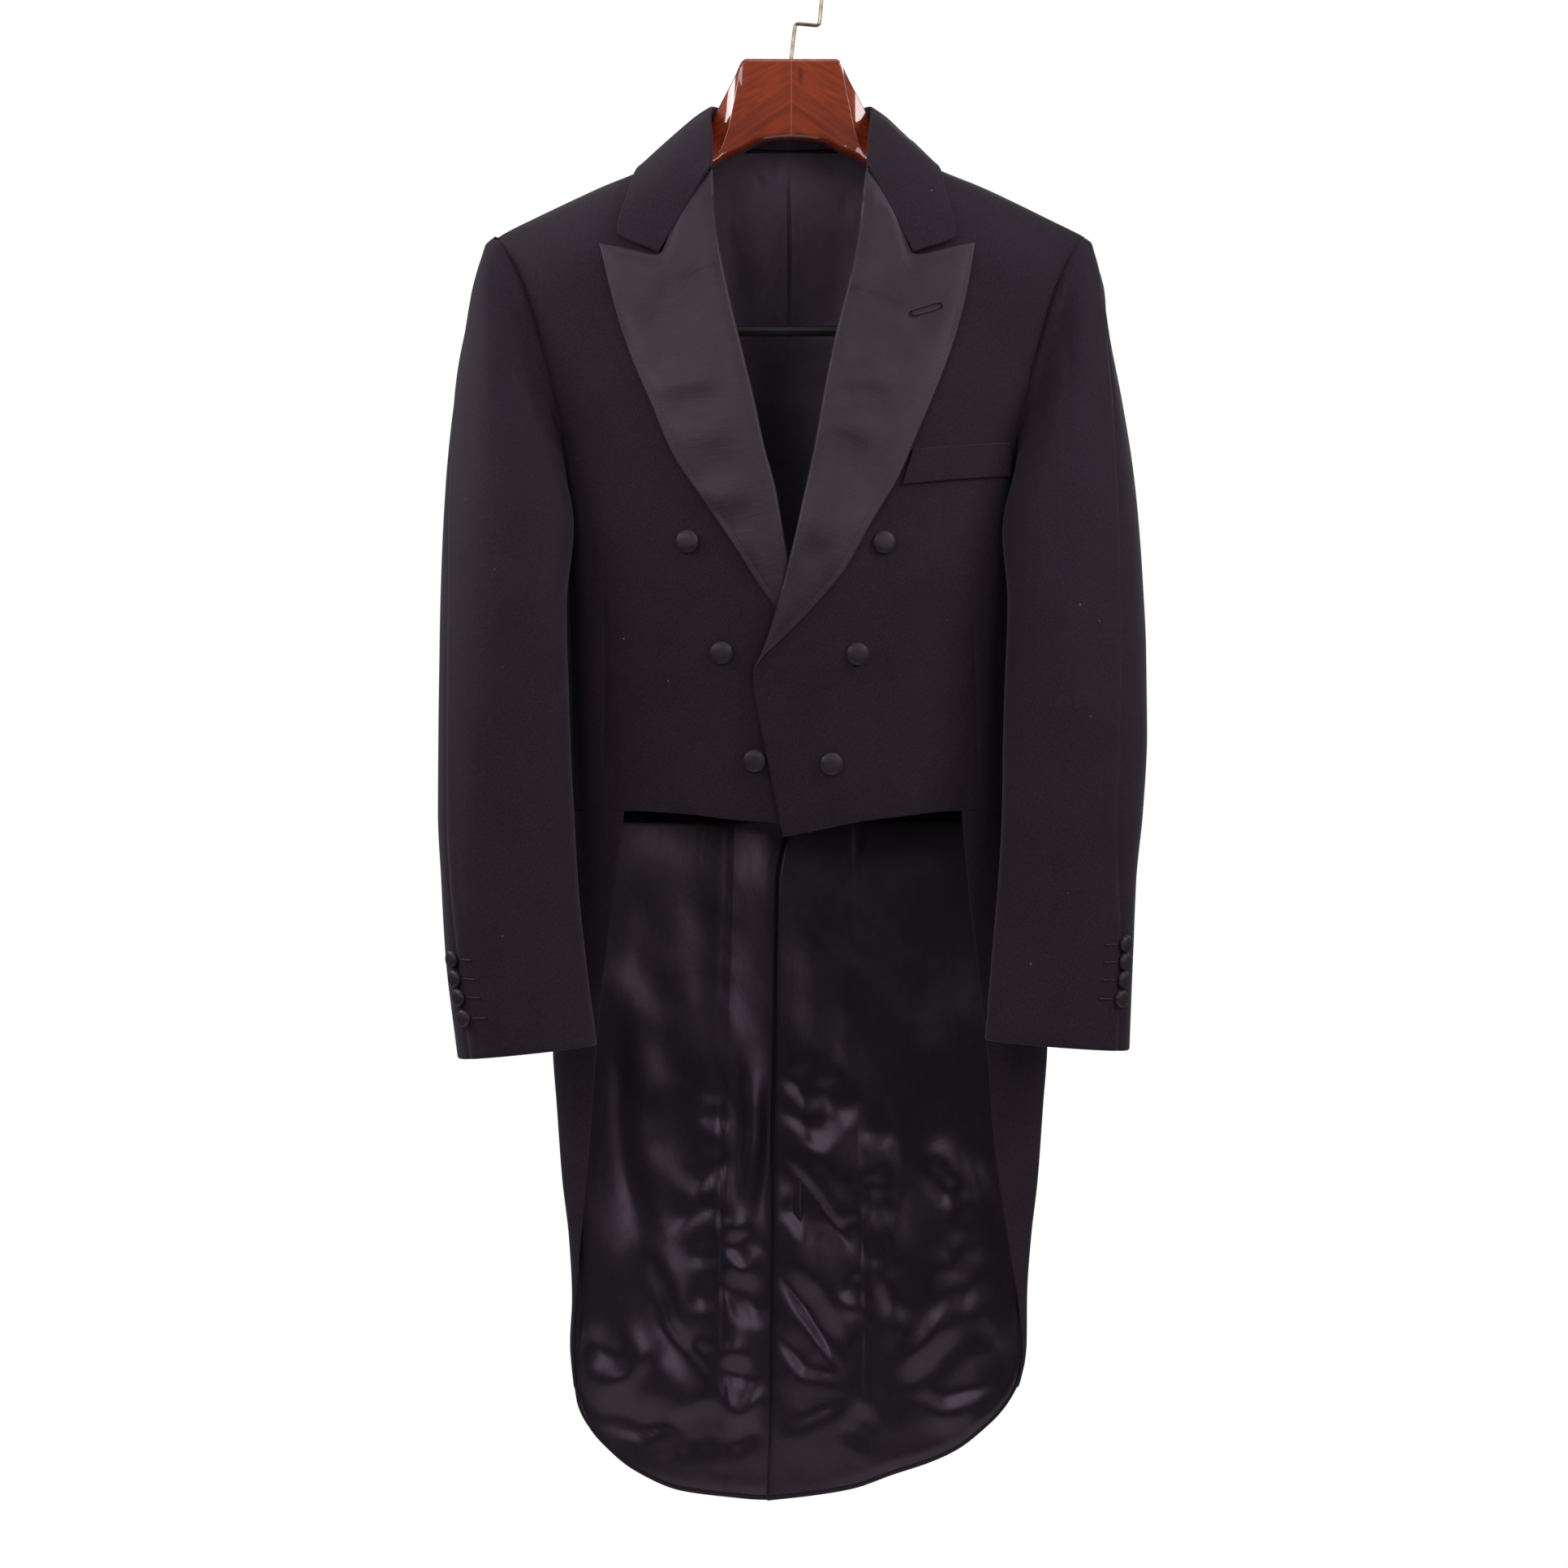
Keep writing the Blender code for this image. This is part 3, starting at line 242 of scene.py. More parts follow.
SLEEVE = {
    "left": Table(
        SLEEVE_NAMES,
        (
            (0, -223.5, 226, -399, 177, -10, 30, 0, -13, -60),
            (1, -233, 233.5, -402, 179.5, -10, 34, 0, -10, -40),
            (2, -258, 240.2, -409, 181, -14, 41, 2, -6, -10),
            (3, -300, 246.5, -421, 179, -20, 49, 8, -3, 8),
            (4, -350, 255.5, -436, 174, -29, 53, 14, 0, 16),
            (5, -410, 264, -460, 169, -39, 54, 18, 0, 23),
            (6, -480, 269.7, -497, 167, -47, 52, 18, 0, 30),
            (7, -545, 272.3, -548, 164.5, -53, 49, 16, 0, 35),
            (8, -606, 272.3, -608, 162.5, -57, 46, 14, 0, 39),
            (9, -668, 269, -668, 161, -60, 43, 12, 0, 41),
            (10, -720, 263.6, -722, 157.5, -61, 40, 9, 0, 35),
            (11, -778, 261, -780, 152.5, -62, 38, 7, 0, 28),
            (12, -850.5, 258, -842, 147.5, -62, 36, 6, 0, 28),
        ),
    ),
    "right": Table(
        SLEEVE_NAMES,
        (
            (0, -224, 229, -399, 179, -10, 30, 0, -13, -64),
            (1, -234, 237.5, -402, 181.5, -10, 34, 0, -10, -50),
            (2, -260, 246, -409, 183, -14, 41, 2, -6, -36),
            (3, -300, 253, -421, 182.5, -20, 49, 8, -3, -22),
            (4, -350, 260.5, -437, 178.5, -29, 53, 14, 0, -12),
            (5, -410, 265.8, -461, 174.5, -39, 54, 18, 0, -4),
            (6, -480, 268.4, -497, 173.2, -47, 52, 18, 0, 3),
            (7, -545, 269.6, -548, 171.5, -53, 49, 16, 0, 8),
            (8, -606, 270.2, -608, 169.3, -57, 46, 14, 0, 12),
            (9, -668, 270.2, -668, 166.2, -60, 43, 12, 0, 16),
            (10, -722, 267.6, -726, 162.6, -61, 40, 9, 0, 20),
            (11, -780, 264, -784, 156.5, -62, 38, 7, 0, 28),
            (12, -857, 254.8, -845.5, 148, -62, 36, 6, 0, 30),
        ),
    ),
}
FRONT_SLEEVE_SEAM = 200.0
COLLAR = Table(
    "k seam_face seam_x seam_z fold_x fold_y fold_z leaf_face leaf_x leaf_z",
    (
        (0, 1, 0, -148.9, 0, 47, -121, 1, 0, -170),
        (1, 1, 24, -148.7, 23, 44, -120.5, 1, 30, -170),
        (2, 1, 50, -148.6, 45, 33, -119.5, 1, 60, -169.5),
        (3, 1, 67, -149.0, 59, 14, -120, 1, 88, -168),
        (4, -1, 71.8, -149.4, 62.5, -4, -123, 1, 107, -167),
        (5, -1, 69, -156, 62, -22, -132, -1, 113.5, -176),
        (6, -1, 64.5, -164.5, 60.5, -39, -149, -1, 117.5, -196),
        (7, -1, 60.5, -172.5, 59, -52.5, -168, -1, 125.0, -228.3),
        (8, -1, 59, -178, 58.8, -58.5, -175.6, -1, 92.4, -243.2),
    ),
)
COLLAR_RIGHT = Table(
    "k fold_dx leaf_dx leaf_dz",
    ((0, 0, 0, 0), (3, 0, 1, 0), (4, 0.5, 4, -0.5), (5, 0.8, 5, -0.5), (6, 1.4, 6.5, 0), (7, 2.6, 7.1, 2.6), (8, 3.4, 8.6, -0.2)),
)


def smoothstep(low, high, value):
    t = np.clip((np.asarray(value, float) - low) / (high - low), 0.0, 1.0)
    return t * t * (3 - 2 * t)


def signed_power(v, power):
    return np.sign(v) * np.abs(v) ** power


def unit(v):
    return v / np.maximum(np.linalg.norm(v, axis=-1, keepdims=True), 1e-9)


def angle_at(side, x, z, back=False):
    s = np.minimum(np.abs(x) / BODY(side, z), 0.99999)
    t = np.arcsin(s ** (RING_POWER / 2)) * np.where(np.asarray(x) < 0, -1.0, 1.0)
    return math.pi - t if back else t


def ring(side, t, z):
    t, z = np.broadcast_arrays(np.asarray(t, float), np.asarray(z, float))
    sine, cosine = np.sin(t), np.cos(t)
    x = BODY(side, z) * signed_power(sine, 2 / RING_POWER)
    depth = np.where(cosine > 0, BODY("front", z), BODY("back", z))
    y = BODY("mid", z) - depth * signed_power(cosine, 2 / RING_POWER)
    return np.stack([x, y, z], axis=-1)


def form(side, t, z):
    """Points and outward normals of the master form, in millimetres, for the side +X."""
    t, z = np.broadcast_arrays(np.asarray(t, float), np.asarray(z, float))
    p = ring(side, t, z)
    e = 0.02
    across = ring(side, t + e, z) - ring(side, t - e, z)
    down = ring(side, t, z - 1.0) - ring(side, t, z + 1.0)
    n = unit(np.cross(down, across))
    flip = n[..., 0] * p[..., 0] + n[..., 1] * (p[..., 1] - BODY("mid", z)) < 0
    n = np.where(flip[..., None], -n, n)
    x = np.abs(p[..., 0])
    rounding = np.where(np.cos(t) > 0, ROUND_FRONT, ROUND_BACK)
    top, ridge = SHOULDER("z", x), SHOULDER("ridge", x)
    q = np.clip((top - z) / rounding, 0.0, 1.0)
    g = np.sqrt(np.maximum(1 - (1 - q) ** 2, 0))
    low = np.maximum(x - 2, 0)
    slope = (SHOULDER("z", x + 2) - SHOULDER("z", low)) / (x + 2 - low)
    up = unit(np.stack([-np.where(p[..., 0] < 0, -1.0, 1.0) * slope, np.zeros_like(x), np.ones_like(x)], axis=-1))
    reach = np.maximum(np.abs(p[..., 1] - ridge), 5.0)
    rounded = unit(n * (g / reach)[..., None] + up * ((1 - q) / rounding)[..., None])
    over = q < 1
    p = p.copy()
    p[..., 1] = np.where(over, ridge + (p[..., 1] - ridge) * g, p[..., 1])
    n = np.where(over[..., None], rounded, n)
    return p, n


def form_x(side, x, z, back=False):
    return form(side, angle_at(side, x, z, back), z)


def armhole_t(z, back=False):
    middle, half = (SHOULDER_TIP + UNDERARM) / 2, (SHOULDER_TIP - UNDERARM) / 2
    c = np.clip((np.asarray(z, float) - middle) / half, -1.0, 1.0)
    cut = (1 - c * c) ** 0.25
    cut = np.where(back, ARM_DART_BACK * cut, -ARM_DART_FRONT * cut)
    return np.radians(90 + cut)


def armhole_z(t):
    off = np.degrees(t) - 90
    cut = np.where(off > 0, ARM_DART_BACK, ARM_DART_FRONT)
    middle, half = (SHOULDER_TIP + UNDERARM) / 2, (SHOULDER_TIP - UNDERARM) / 2
    return middle - half * np.sqrt(np.maximum(1 - np.minimum(np.abs(off) / cut, 1.0) ** 4, 0.0))


def top_z(x):
    return np.where(x < 72, NECK("z", x), SHOULDER("z", x))


SIDE_TOP_FRONT = float(armhole_z(math.radians(90 - SIDE_SEAM)))
SIDE_TOP_BACK = -336.0


def front_lift(x, z):
    return OVERLAP_LIFT * smoothstep(72, 30, x) * smoothstep(-405, -455, z)


def vent_lift(side, x, z):
    if side == "left":
        return np.zeros(np.broadcast(x, z).shape)
    return 4.8 * smoothstep(50, 14, x) * smoothstep(-669, -688, z)


# ---------------------------------------------------------------- grids


def steps(count, near_start=(), near_end=()):
    """Even parameters from 0 to 1, with a few extra ones close to an end for a rounded edge."""
    even = np.linspace(0, 1, count)
    return np.unique(np.concatenate([even, near_start, 1 - np.asarray(near_end, float)]))


EDGE = (0.0012, 0.0035, 0.007)


def solve(start, step):
    x = start
    for _ in range(60):
        x = 0.6 * x + 0.4 * step(x)
    return x


def front_grid(side):
    """Front panel: rows over the shoulder and down to the hem, columns from the inner edge to the armhole."""
    hem, edge = FRONT_HEM[side], FRONT_EDGE[side]
    rows = [("round", 1 - math.cos(math.radians(a))) for a in np.linspace(0, 90, 16)]
    rows += [("chest", w) for w in np.linspace(0, 1, 30)[1:]]
    rows += [("low", w) for w in steps(120, (), (0.0022, 0.0055))[1:]]
    f = steps(72, (0.003, 0.008), (0.003, 0.008))
    # Columns are closer where the dart runs down the front.
    f = np.unique(np.concatenate([f[(f < 0.739) | (f > 0.951)], np.linspace(0.743, 0.947, 56)]))
    cells = []
    for kind, w in rows:
        def height(x, kind=kind, w=w):
            if kind == "round":
                return (1 - w) * top_z(x) + w * (SHOULDER("z", x) - ROUND_FRONT)
            if kind == "chest":
                return (1 - w) * (SHOULDER("z", x) - ROUND_FRONT) + w * SIDE_TOP_FRONT
            return (1 - w) * SIDE_TOP_FRONT + w * hem("z", x)

        def outer_edge(x):
            z = height(x)
            t = np.where(z > SIDE_TOP_FRONT, armhole_t(z), math.radians(90 - SIDE_SEAM))
            return ring(side, t, z)[..., 0] - SEAM / 2

        inner = solve(40.0, lambda x: edge("x", height(x)))
        outer = solve(180.0, outer_edge)
        x = inner + (outer - inner) * f
        cells.append(np.stack([x, height(x)], axis=-1))
    xz = np.array(cells)
    points, normals = form_x(side, xz[..., 0], xz[..., 1])
    points[0, :, 1] -= 0.35
    lift = front_lift(xz[..., 0], xz[..., 1]) if side == "left" else np.zeros(xz.shape[:2])
    return points, normals, lift


def side_grid(side):
    start = math.radians(90 - SIDE_SEAM) + math.radians(0.12)
    f = steps(34, (0.006, 0.02), (0.006, 0.02))
    cells_t, cells_z = [], []
    top_back = float(armhole_t(SIDE_TOP_BACK, True))
    for w in steps(100, (0.004,), (0.003,)):
        back_z = SIDE_TOP_BACK + w * (WAIST - SIDE_TOP_BACK)
        back = float(angle_at(side, BACK_SEAM("x", back_z) + SEAM, back_z, True))
        back = min(back, top_back) if w < 0.01 else back
        t = start + (back - start) * f
        top = start + (top_back - start) * f
        z = armhole_z(top) * (1 - w) + WAIST * w
        blend = smoothstep(0.85, 1.0, f)
        z = z * (1 - blend) + back_z * blend
        cells_t.append(t)
        cells_z.append(z)
    return form(side, np.array(cells_t), np.array(cells_z))


def tail_rows():
    return np.concatenate([[0, 0.004, 0.012], np.linspace(0.02, 0.985, 130), [0.992, 0.9965, 1.0]])


def tail_heights(side, x_at, weights):
    low = -1190.0
    for _ in range(20):
        low = float(TAIL_HEM[side]("z", x_at(low)))
    return WAIST - 0.6 + (low - WAIST + 0.6) * weights


def back_outer_x(side, z):
    return np.where(z > SIDE_TOP_BACK, ring(side, armhole_t(z, True), z)[..., 0], BACK_SEAM("x", z)) - SEAM / 2


def back_grid(side):
    f = steps(40, (0.005, 0.015), (0.005, 0.015))
    rows = [("round", 1 - math.cos(math.radians(a))) for a in np.linspace(0, 90, 16)]
    rows += [("chest", w) for w in np.linspace(0, 1, 24)[1:]]
    rows += [("low", w) for w in np.linspace(0, 1, 100)[1:]]
    cells = []
    for kind, w in rows:
        def height(x, kind=kind, w=w):
            if kind == "round":
                return (1 - w) * top_z(x) + w * (SHOULDER("z", x) - ROUND_BACK)
            if kind == "chest":
                return (1 - w) * (SHOULDER("z", x) - ROUND_BACK) + w * SIDE_TOP_BACK
            return (SIDE_TOP_BACK * (1 - w) + WAIST * w) * np.ones_like(np.asarray(x, float))

        outer = float(solve(150.0, lambda x: back_outer_x(side, height(x))))
        x = SEAM / 2 + (outer - SEAM / 2) * f
        cells.append(np.stack([x, height(x)], axis=-1))
    upper = len(cells) - 1
    weights = tail_rows()[1:]
    seam = tail_heights(side, lambda z: BACK_SEAM("x", z), weights)
    centre = tail_heights(side, lambda z: VENT_EDGE(side, z), weights)
    hem = smoothstep(0.9, 1.0, weights)
    for zs, zc, h in zip(seam, centre, hem):
        z = zc * (1 - f) + zs * f
        x = VENT_EDGE(side, z) * (1 - f) + (BACK_SEAM("x", z) - SEAM / 2) * f
        z = z + h * (TAIL_HEM[side]("z", x) - (centre[-1] * (1 - f) + seam[-1] * f))
        cells.append(np.stack([x, z], axis=-1))
    xz = np.array(cells)
    points, normals = form_x(side, xz[..., 0], xz[..., 1], True)
    points[0, :, 1] += 0.35
    lift = vent_lift(side, xz[..., 0], xz[..., 1])
    lift[: upper + 1] = 0
    return points, normals, lift, upper


def skirt_edge_t(side, z):
    x = np.minimum(SKIRT_EDGE(side, z), BODY(side, z) * 0.999)
    return np.minimum(angle_at(side, x, z), math.radians(82))


def skirt_t(side, u, z):
    """Ring angle of the skirt at u: 0 at the free edge, 2 at the side line, 7 at the pleat."""
    start, half = skirt_edge_t(side, z), math.pi / 2
    end = angle_at(side, BACK_SEAM("x", z) + SEAM / 2, z, True)
    return np.where(u <= 2, start + (half - start) * u / 2, half + (end - half) * (u - 2) / 5)


def skirt_grid(side, u):
    low = np.full(u.shape, -1170.0)
    for _ in range(60):
        x = ring(side, skirt_t(side, u, low), low)[..., 0]
        low = 0.5 * low + 0.5 * TAIL_HEM[side]("z", x)
    weights = tail_rows()[:, None]
    z = WAIST - 0.6 + (low[None] - WAIST + 0.6) * weights
    return form(side, skirt_t(side, u[None], z), z)


def sleeve_raw(side, r, theta):
    table = SLEEVE[side]
    outer, inner = table("outer_x", r), table("inner_x", r)
    outer_z, inner_z = table("outer_z", r), table("inner_z", r)
    skew = table("skew", r)
    half = np.sqrt(np.maximum(((outer - inner) / 2) ** 2 - skew * skew, 1.0))
    c, s = np.cos(theta), np.sin(theta)
    cc, ss = signed_power(c, 2 / 2.25), signed_power(s, 2 / 2.25)
    x = (outer + inner) / 2 + half * cc - skew * ss + table("bow", r) * ss * ss
    z = (outer_z + inner_z) / 2 + (outer_z - inner_z) / 2 * cc
    y = table("mid", r) - table("half", r) * ss
    return np.stack([x, y, z], axis=-1)


def sleeve_point(side, r, theta):
    r, theta = np.broadcast_arrays(np.asarray(r, float), np.asarray(theta, float))
    p = sleeve_raw(side, r, theta)
    middle, lift = (SHOULDER_TIP + UNDERARM) / 2, (SHOULDER_TIP - UNDERARM) / 2
    c, s = np.cos(theta), np.sin(theta)
    arm_z = middle + lift * c
    arm_t = np.where(s < 0, armhole_t(arm_z, True), armhole_t(arm_z, False))
    arm = form(side, arm_t, arm_z)[0]
    start = sleeve_raw(side, np.zeros_like(r), theta)
    return p + (arm - start) * (np.clip(1 - r / 2, 0, 1) ** 2)[..., None]


def sleeve_frame(side, r, theta):
    r, theta = np.broadcast_arrays(np.asarray(r, float), np.asarray(theta, float))
    p = sleeve_point(side, r, theta)
    e, g = 0.05, 0.03
    across = sleeve_point(side, r, theta + e) - sleeve_point(side, r, theta - e)
    along = sleeve_point(side, np.minimum(r + g, 12.0), theta) - sleeve_point(side, np.maximum(r - g, 0.0), theta)
    n = unit(np.cross(across, along))
    middle = (sleeve_point(side, r, np.zeros_like(r)) + sleeve_point(side, r, np.full_like(r, math.pi))) / 2
    flip = (n * (p - middle)).sum(axis=-1) < 0
    return p, np.where(flip[..., None], -n, n)


SLEEVE_RINGS = np.concatenate([[0.0, 0.02, 0.06, 0.12, 0.2], np.linspace(0.3, 2, 26), np.linspace(2, 11.96, 150)[1:], [11.982, 12.0]])


def sleeve_grid(side, under):
    r = SLEEVE_RINGS
    hind, front = SLEEVE[side]("hind", r), FRONT_SLEEVE_SEAM
    gap = 0.0
    f = steps(44 if under else 56, (0.004, 0.012), (0.004, 0.012))
    first = np.full_like(r, front + gap) if under else hind + gap
    last = 360 + hind - gap if under else np.full_like(r, front - gap)
    theta = np.radians(first[:, None] + (last - first)[:, None] * f[None])
    return sleeve_frame(side, r[:, None], theta)


def collar_mid(columns):
    """Mid-surface of the collar: rows from one notch round the back to the other, columns seam, stand, fold, leaf."""
    halves = []
    for side in ("right", "left"):
        k = np.concatenate([np.linspace(0, 7.9, 90), [7.95, 7.985, 8.0]])
        wide = float(side == "right")
        fold_dx, leaf_dx, leaf_dz = (wide * COLLAR_RIGHT(c, k) for c in ("fold_dx", "leaf_dx", "leaf_dz"))

        def on_form(face, x, z):
            front = form_x(side, x, z)
            back = form_x(side, x, z, True)
            w = smoothstep(-1, 1, face)[:, None]
            return front[0] * (1 - w) + back[0] * w, unit(front[1] * (1 - w) + back[1] * w)

        seam = on_form(COLLAR("seam_face", k), COLLAR("seam_x", k) + fold_dx, COLLAR("seam_z", k))
        neck = seam[0] - seam[1] * 1.1
        neck[:, 2] = np.maximum(neck[:, 2], COLLAR("seam_z", k))
        fold = np.stack([COLLAR("fold_x", k) + fold_dx, COLLAR("fold_y", k), COLLAR("fold_z", k)], axis=-1)
        point, normal = on_form(COLLAR("leaf_face", k), COLLAR("leaf_x", k) + leaf_dx, COLLAR("leaf_z", k) + leaf_dz)
        leaf = point + normal * (3.8 + 0.9 * smoothstep(5.5, 7.0, k)[:, None])
        away = leaf - neck
        away[:, 2] = 0
        away = unit(away)
        spread = smoothstep(8.2, 5.5, k)[:, None]
        half = np.stack(
            [
                neck,
                neck * 0.2 + fold * 0.8 - away * 1.4 * spread,
                fold,
                fold * 0.87 + leaf * 0.13 + away * 1.2 * spread + np.array((0, 0, 0.8)),
                fold * 0.5 + leaf * 0.5 + normal * 1.5,
                leaf,
            ],
            axis=1,
        )
        halves.append(half[:0:-1] * np.array((-1, 1, 1)) if side == "right" else half)
    mid = np.concatenate(halves)
    # A smooth curve through the six lines of each row, by length.
    knots = np.array((0.0, 0.27, 0.36, 0.45, 0.70, 1.0))
    out = np.zeros((len(mid), len(columns), 3))
    for i, row in enumerate(mid):
        for a in range(3):
            table = Table("u v", np.stack([knots, row[:, a]], axis=1))
            out[i, :, a] = table("v", columns)
    return out


# ---------------------------------------------------------------- creases

UNIT = 0.62  # millimetres in one step of the crease tables


def at(column, row):
    """Millimetres from the hook of a place counted in steps, right from 975 and down from -78."""
    return (np.asarray(column, float) - 975) * UNIT, -(np.asarray(row, float) + 78) * UNIT


def soft(x, z, path, depth, width, lean=0.0, fade=0.4):
    """Height of a soft ridge (or trough, when depth < 0) along a line in the x, z plane."""
    path = np.asarray(path, float)
    seg = np.diff(path, axis=0)
    length = np.linalg.norm(seg, axis=1)
    best = np.full(x.shape, 1e9)
    signed, along, done = np.zeros(x.shape), np.zeros(x.shape), 0.0
    for start, d, size in zip(path, seg, length):
        px, pz = x - start[0], z - start[1]
        s = np.clip((px * d[0] + pz * d[1]) / size, 0, size)
        gap = np.hypot(px - s * d[0] / size, pz - s * d[1] / size)
        cross = (d[0] * pz - d[1] * px) / size
        closer = gap < best
        best = np.where(closer, gap, best)
        signed = np.where(closer, np.sign(cross) * gap, signed)
        along = np.where(closer, done + s, along)
        done += size
    u = along / done
    ends = smoothstep(0, fade, u) * smoothstep(1, 1 - fade, u)
    wide = np.where(signed > 0, width * (1 + 2.2 * max(lean, 0.0)), width * (1 + 2.2 * max(-lean, 0.0)))
    return depth * ends * np.exp(-((best / wide) ** 2))


def creases(x, z, rows):
    """Sum of soft creases: each row is x0 y0 x1 y1 x2 y2 depth width lean, places in steps."""
    total = np.zeros(x.shape)
    for x0, y0, x1, y1, x2, y2, depth, width, lean in rows:
        px, pz = at((x0, x1, x2), (y0, y1, y2))
        total += soft(x, z, np.stack([px, pz], axis=1), depth, width, lean)
    return total


def swell(x, z, seed, size, depth):
    """Slow uneven swell of cloth that never hangs quite flat."""
    a, b, c = 0.7 * seed + 0.3, 1.9 * seed + 1.1, 3.1 * seed + 0.7
    return depth * (
        0.5 * np.sin(x / size + a + 1.3 * np.sin(z / (1.7 * size) + b))
        + 0.3 * np.sin(z / (0.8 * size) + c + 0.9 * np.sin(x / size + a))
        + 0.2 * np.sin((x + z) / (0.55 * size) + b)
    )


LAPEL_CREASES = {
    "left": (
        (1030, 452, 1080, 438, 1125, 452, -0.9, 9, 0.4),
        (1022, 480, 1070, 468, 1110, 486, 0.8, 8, 0.5),
        (1015, 506, 1060, 500, 1100, 520, -0.9, 8, 0.5),
        (1010, 530, 1050, 528, 1088, 552, 0.8, 9, 0.5),
        (1004, 566, 1042, 570, 1076, 592, -0.7, 9, 0.4),
        (985, 655, 1010, 662, 1036, 668, 0.5, 9, 0.6),
        (980, 682, 1000, 690, 1022, 694, -0.4, 9, 0.5),
        (1060, 330, 1100, 322, 1150, 330, -0.5, 16, 0.2),
        (1050, 395, 1090, 390, 1140, 398, 0.5, 14, 0.2),
    ),
    "right": (
        (785, 452, 835, 462, 882, 452, -0.8, 9, 0.4),
        (800, 482, 850, 474, 895, 470, 0.8, 8, 0.5),
        (812, 512, 858, 508, 905, 498, -0.9, 9, 0.5),
        (828, 548, 870, 540, 915, 530, 0.6, 10, 0.3),
        (846, 596, 885, 590, 928, 578, -0.8, 9, 0.5),
        (858, 622, 895, 614, 935, 606, 0.7, 9, 0.4),
        (880, 662, 910, 650, 942, 646, -0.6, 9, 0.3),
        (770, 350, 820, 342, 880, 352, 0.5, 16, 0.2),
        (778, 396, 830, 402, 884, 396, -0.5, 14, 0.2),
    ),
}

FRONT_CREASES = {
    "left": (
        (1240, 600, 1236, 720, 1222, 840, 1.0, 16, 0.4),
        (1205, 360, 1228, 430, 1236, 500, -1.0, 18, 0.3),
        (1010, 860, 1100, 880, 1180, 870, -0.6, 24, 0.2),
        (985, 960, 1050, 975, 1120, 985, 0.7, 18, 0.3),
        (1120, 700, 1150, 760, 1170, 850, -0.7, 20, 0.2),
        (1180, 260, 1230, 300, 1280, 330, 0.8, 20, 0.2),
    ),
    "right": (
        (712, 600, 716, 720, 728, 840, 1.0, 16, 0.4),
        (752, 360, 724, 430, 712, 500, -1.0, 18, 0.3),
        (760, 880, 840, 890, 915, 870, -0.6, 24, 0.2),
        (780, 975, 850, 985, 930, 975, 0.7, 18, 0.3),
        (830, 700, 800, 760, 780, 850, -0.7, 20, 0.2),
        (780, 260, 730, 300, 680, 330, 0.8, 20, 0.2),
    ),
}

# Seams and darts on the fronts, as fine grooves: x0 y0 x1 y1 x2 y2 depth width lean.
FRONT_DARTS = {
    "left": ((1195, 690, 1203, 850, 1207, 1003, -0.95, 1.7, 0.0),),
    "right": ((745, 660, 745, 840, 742, 997, -0.95, 1.7, 0.0),),
}

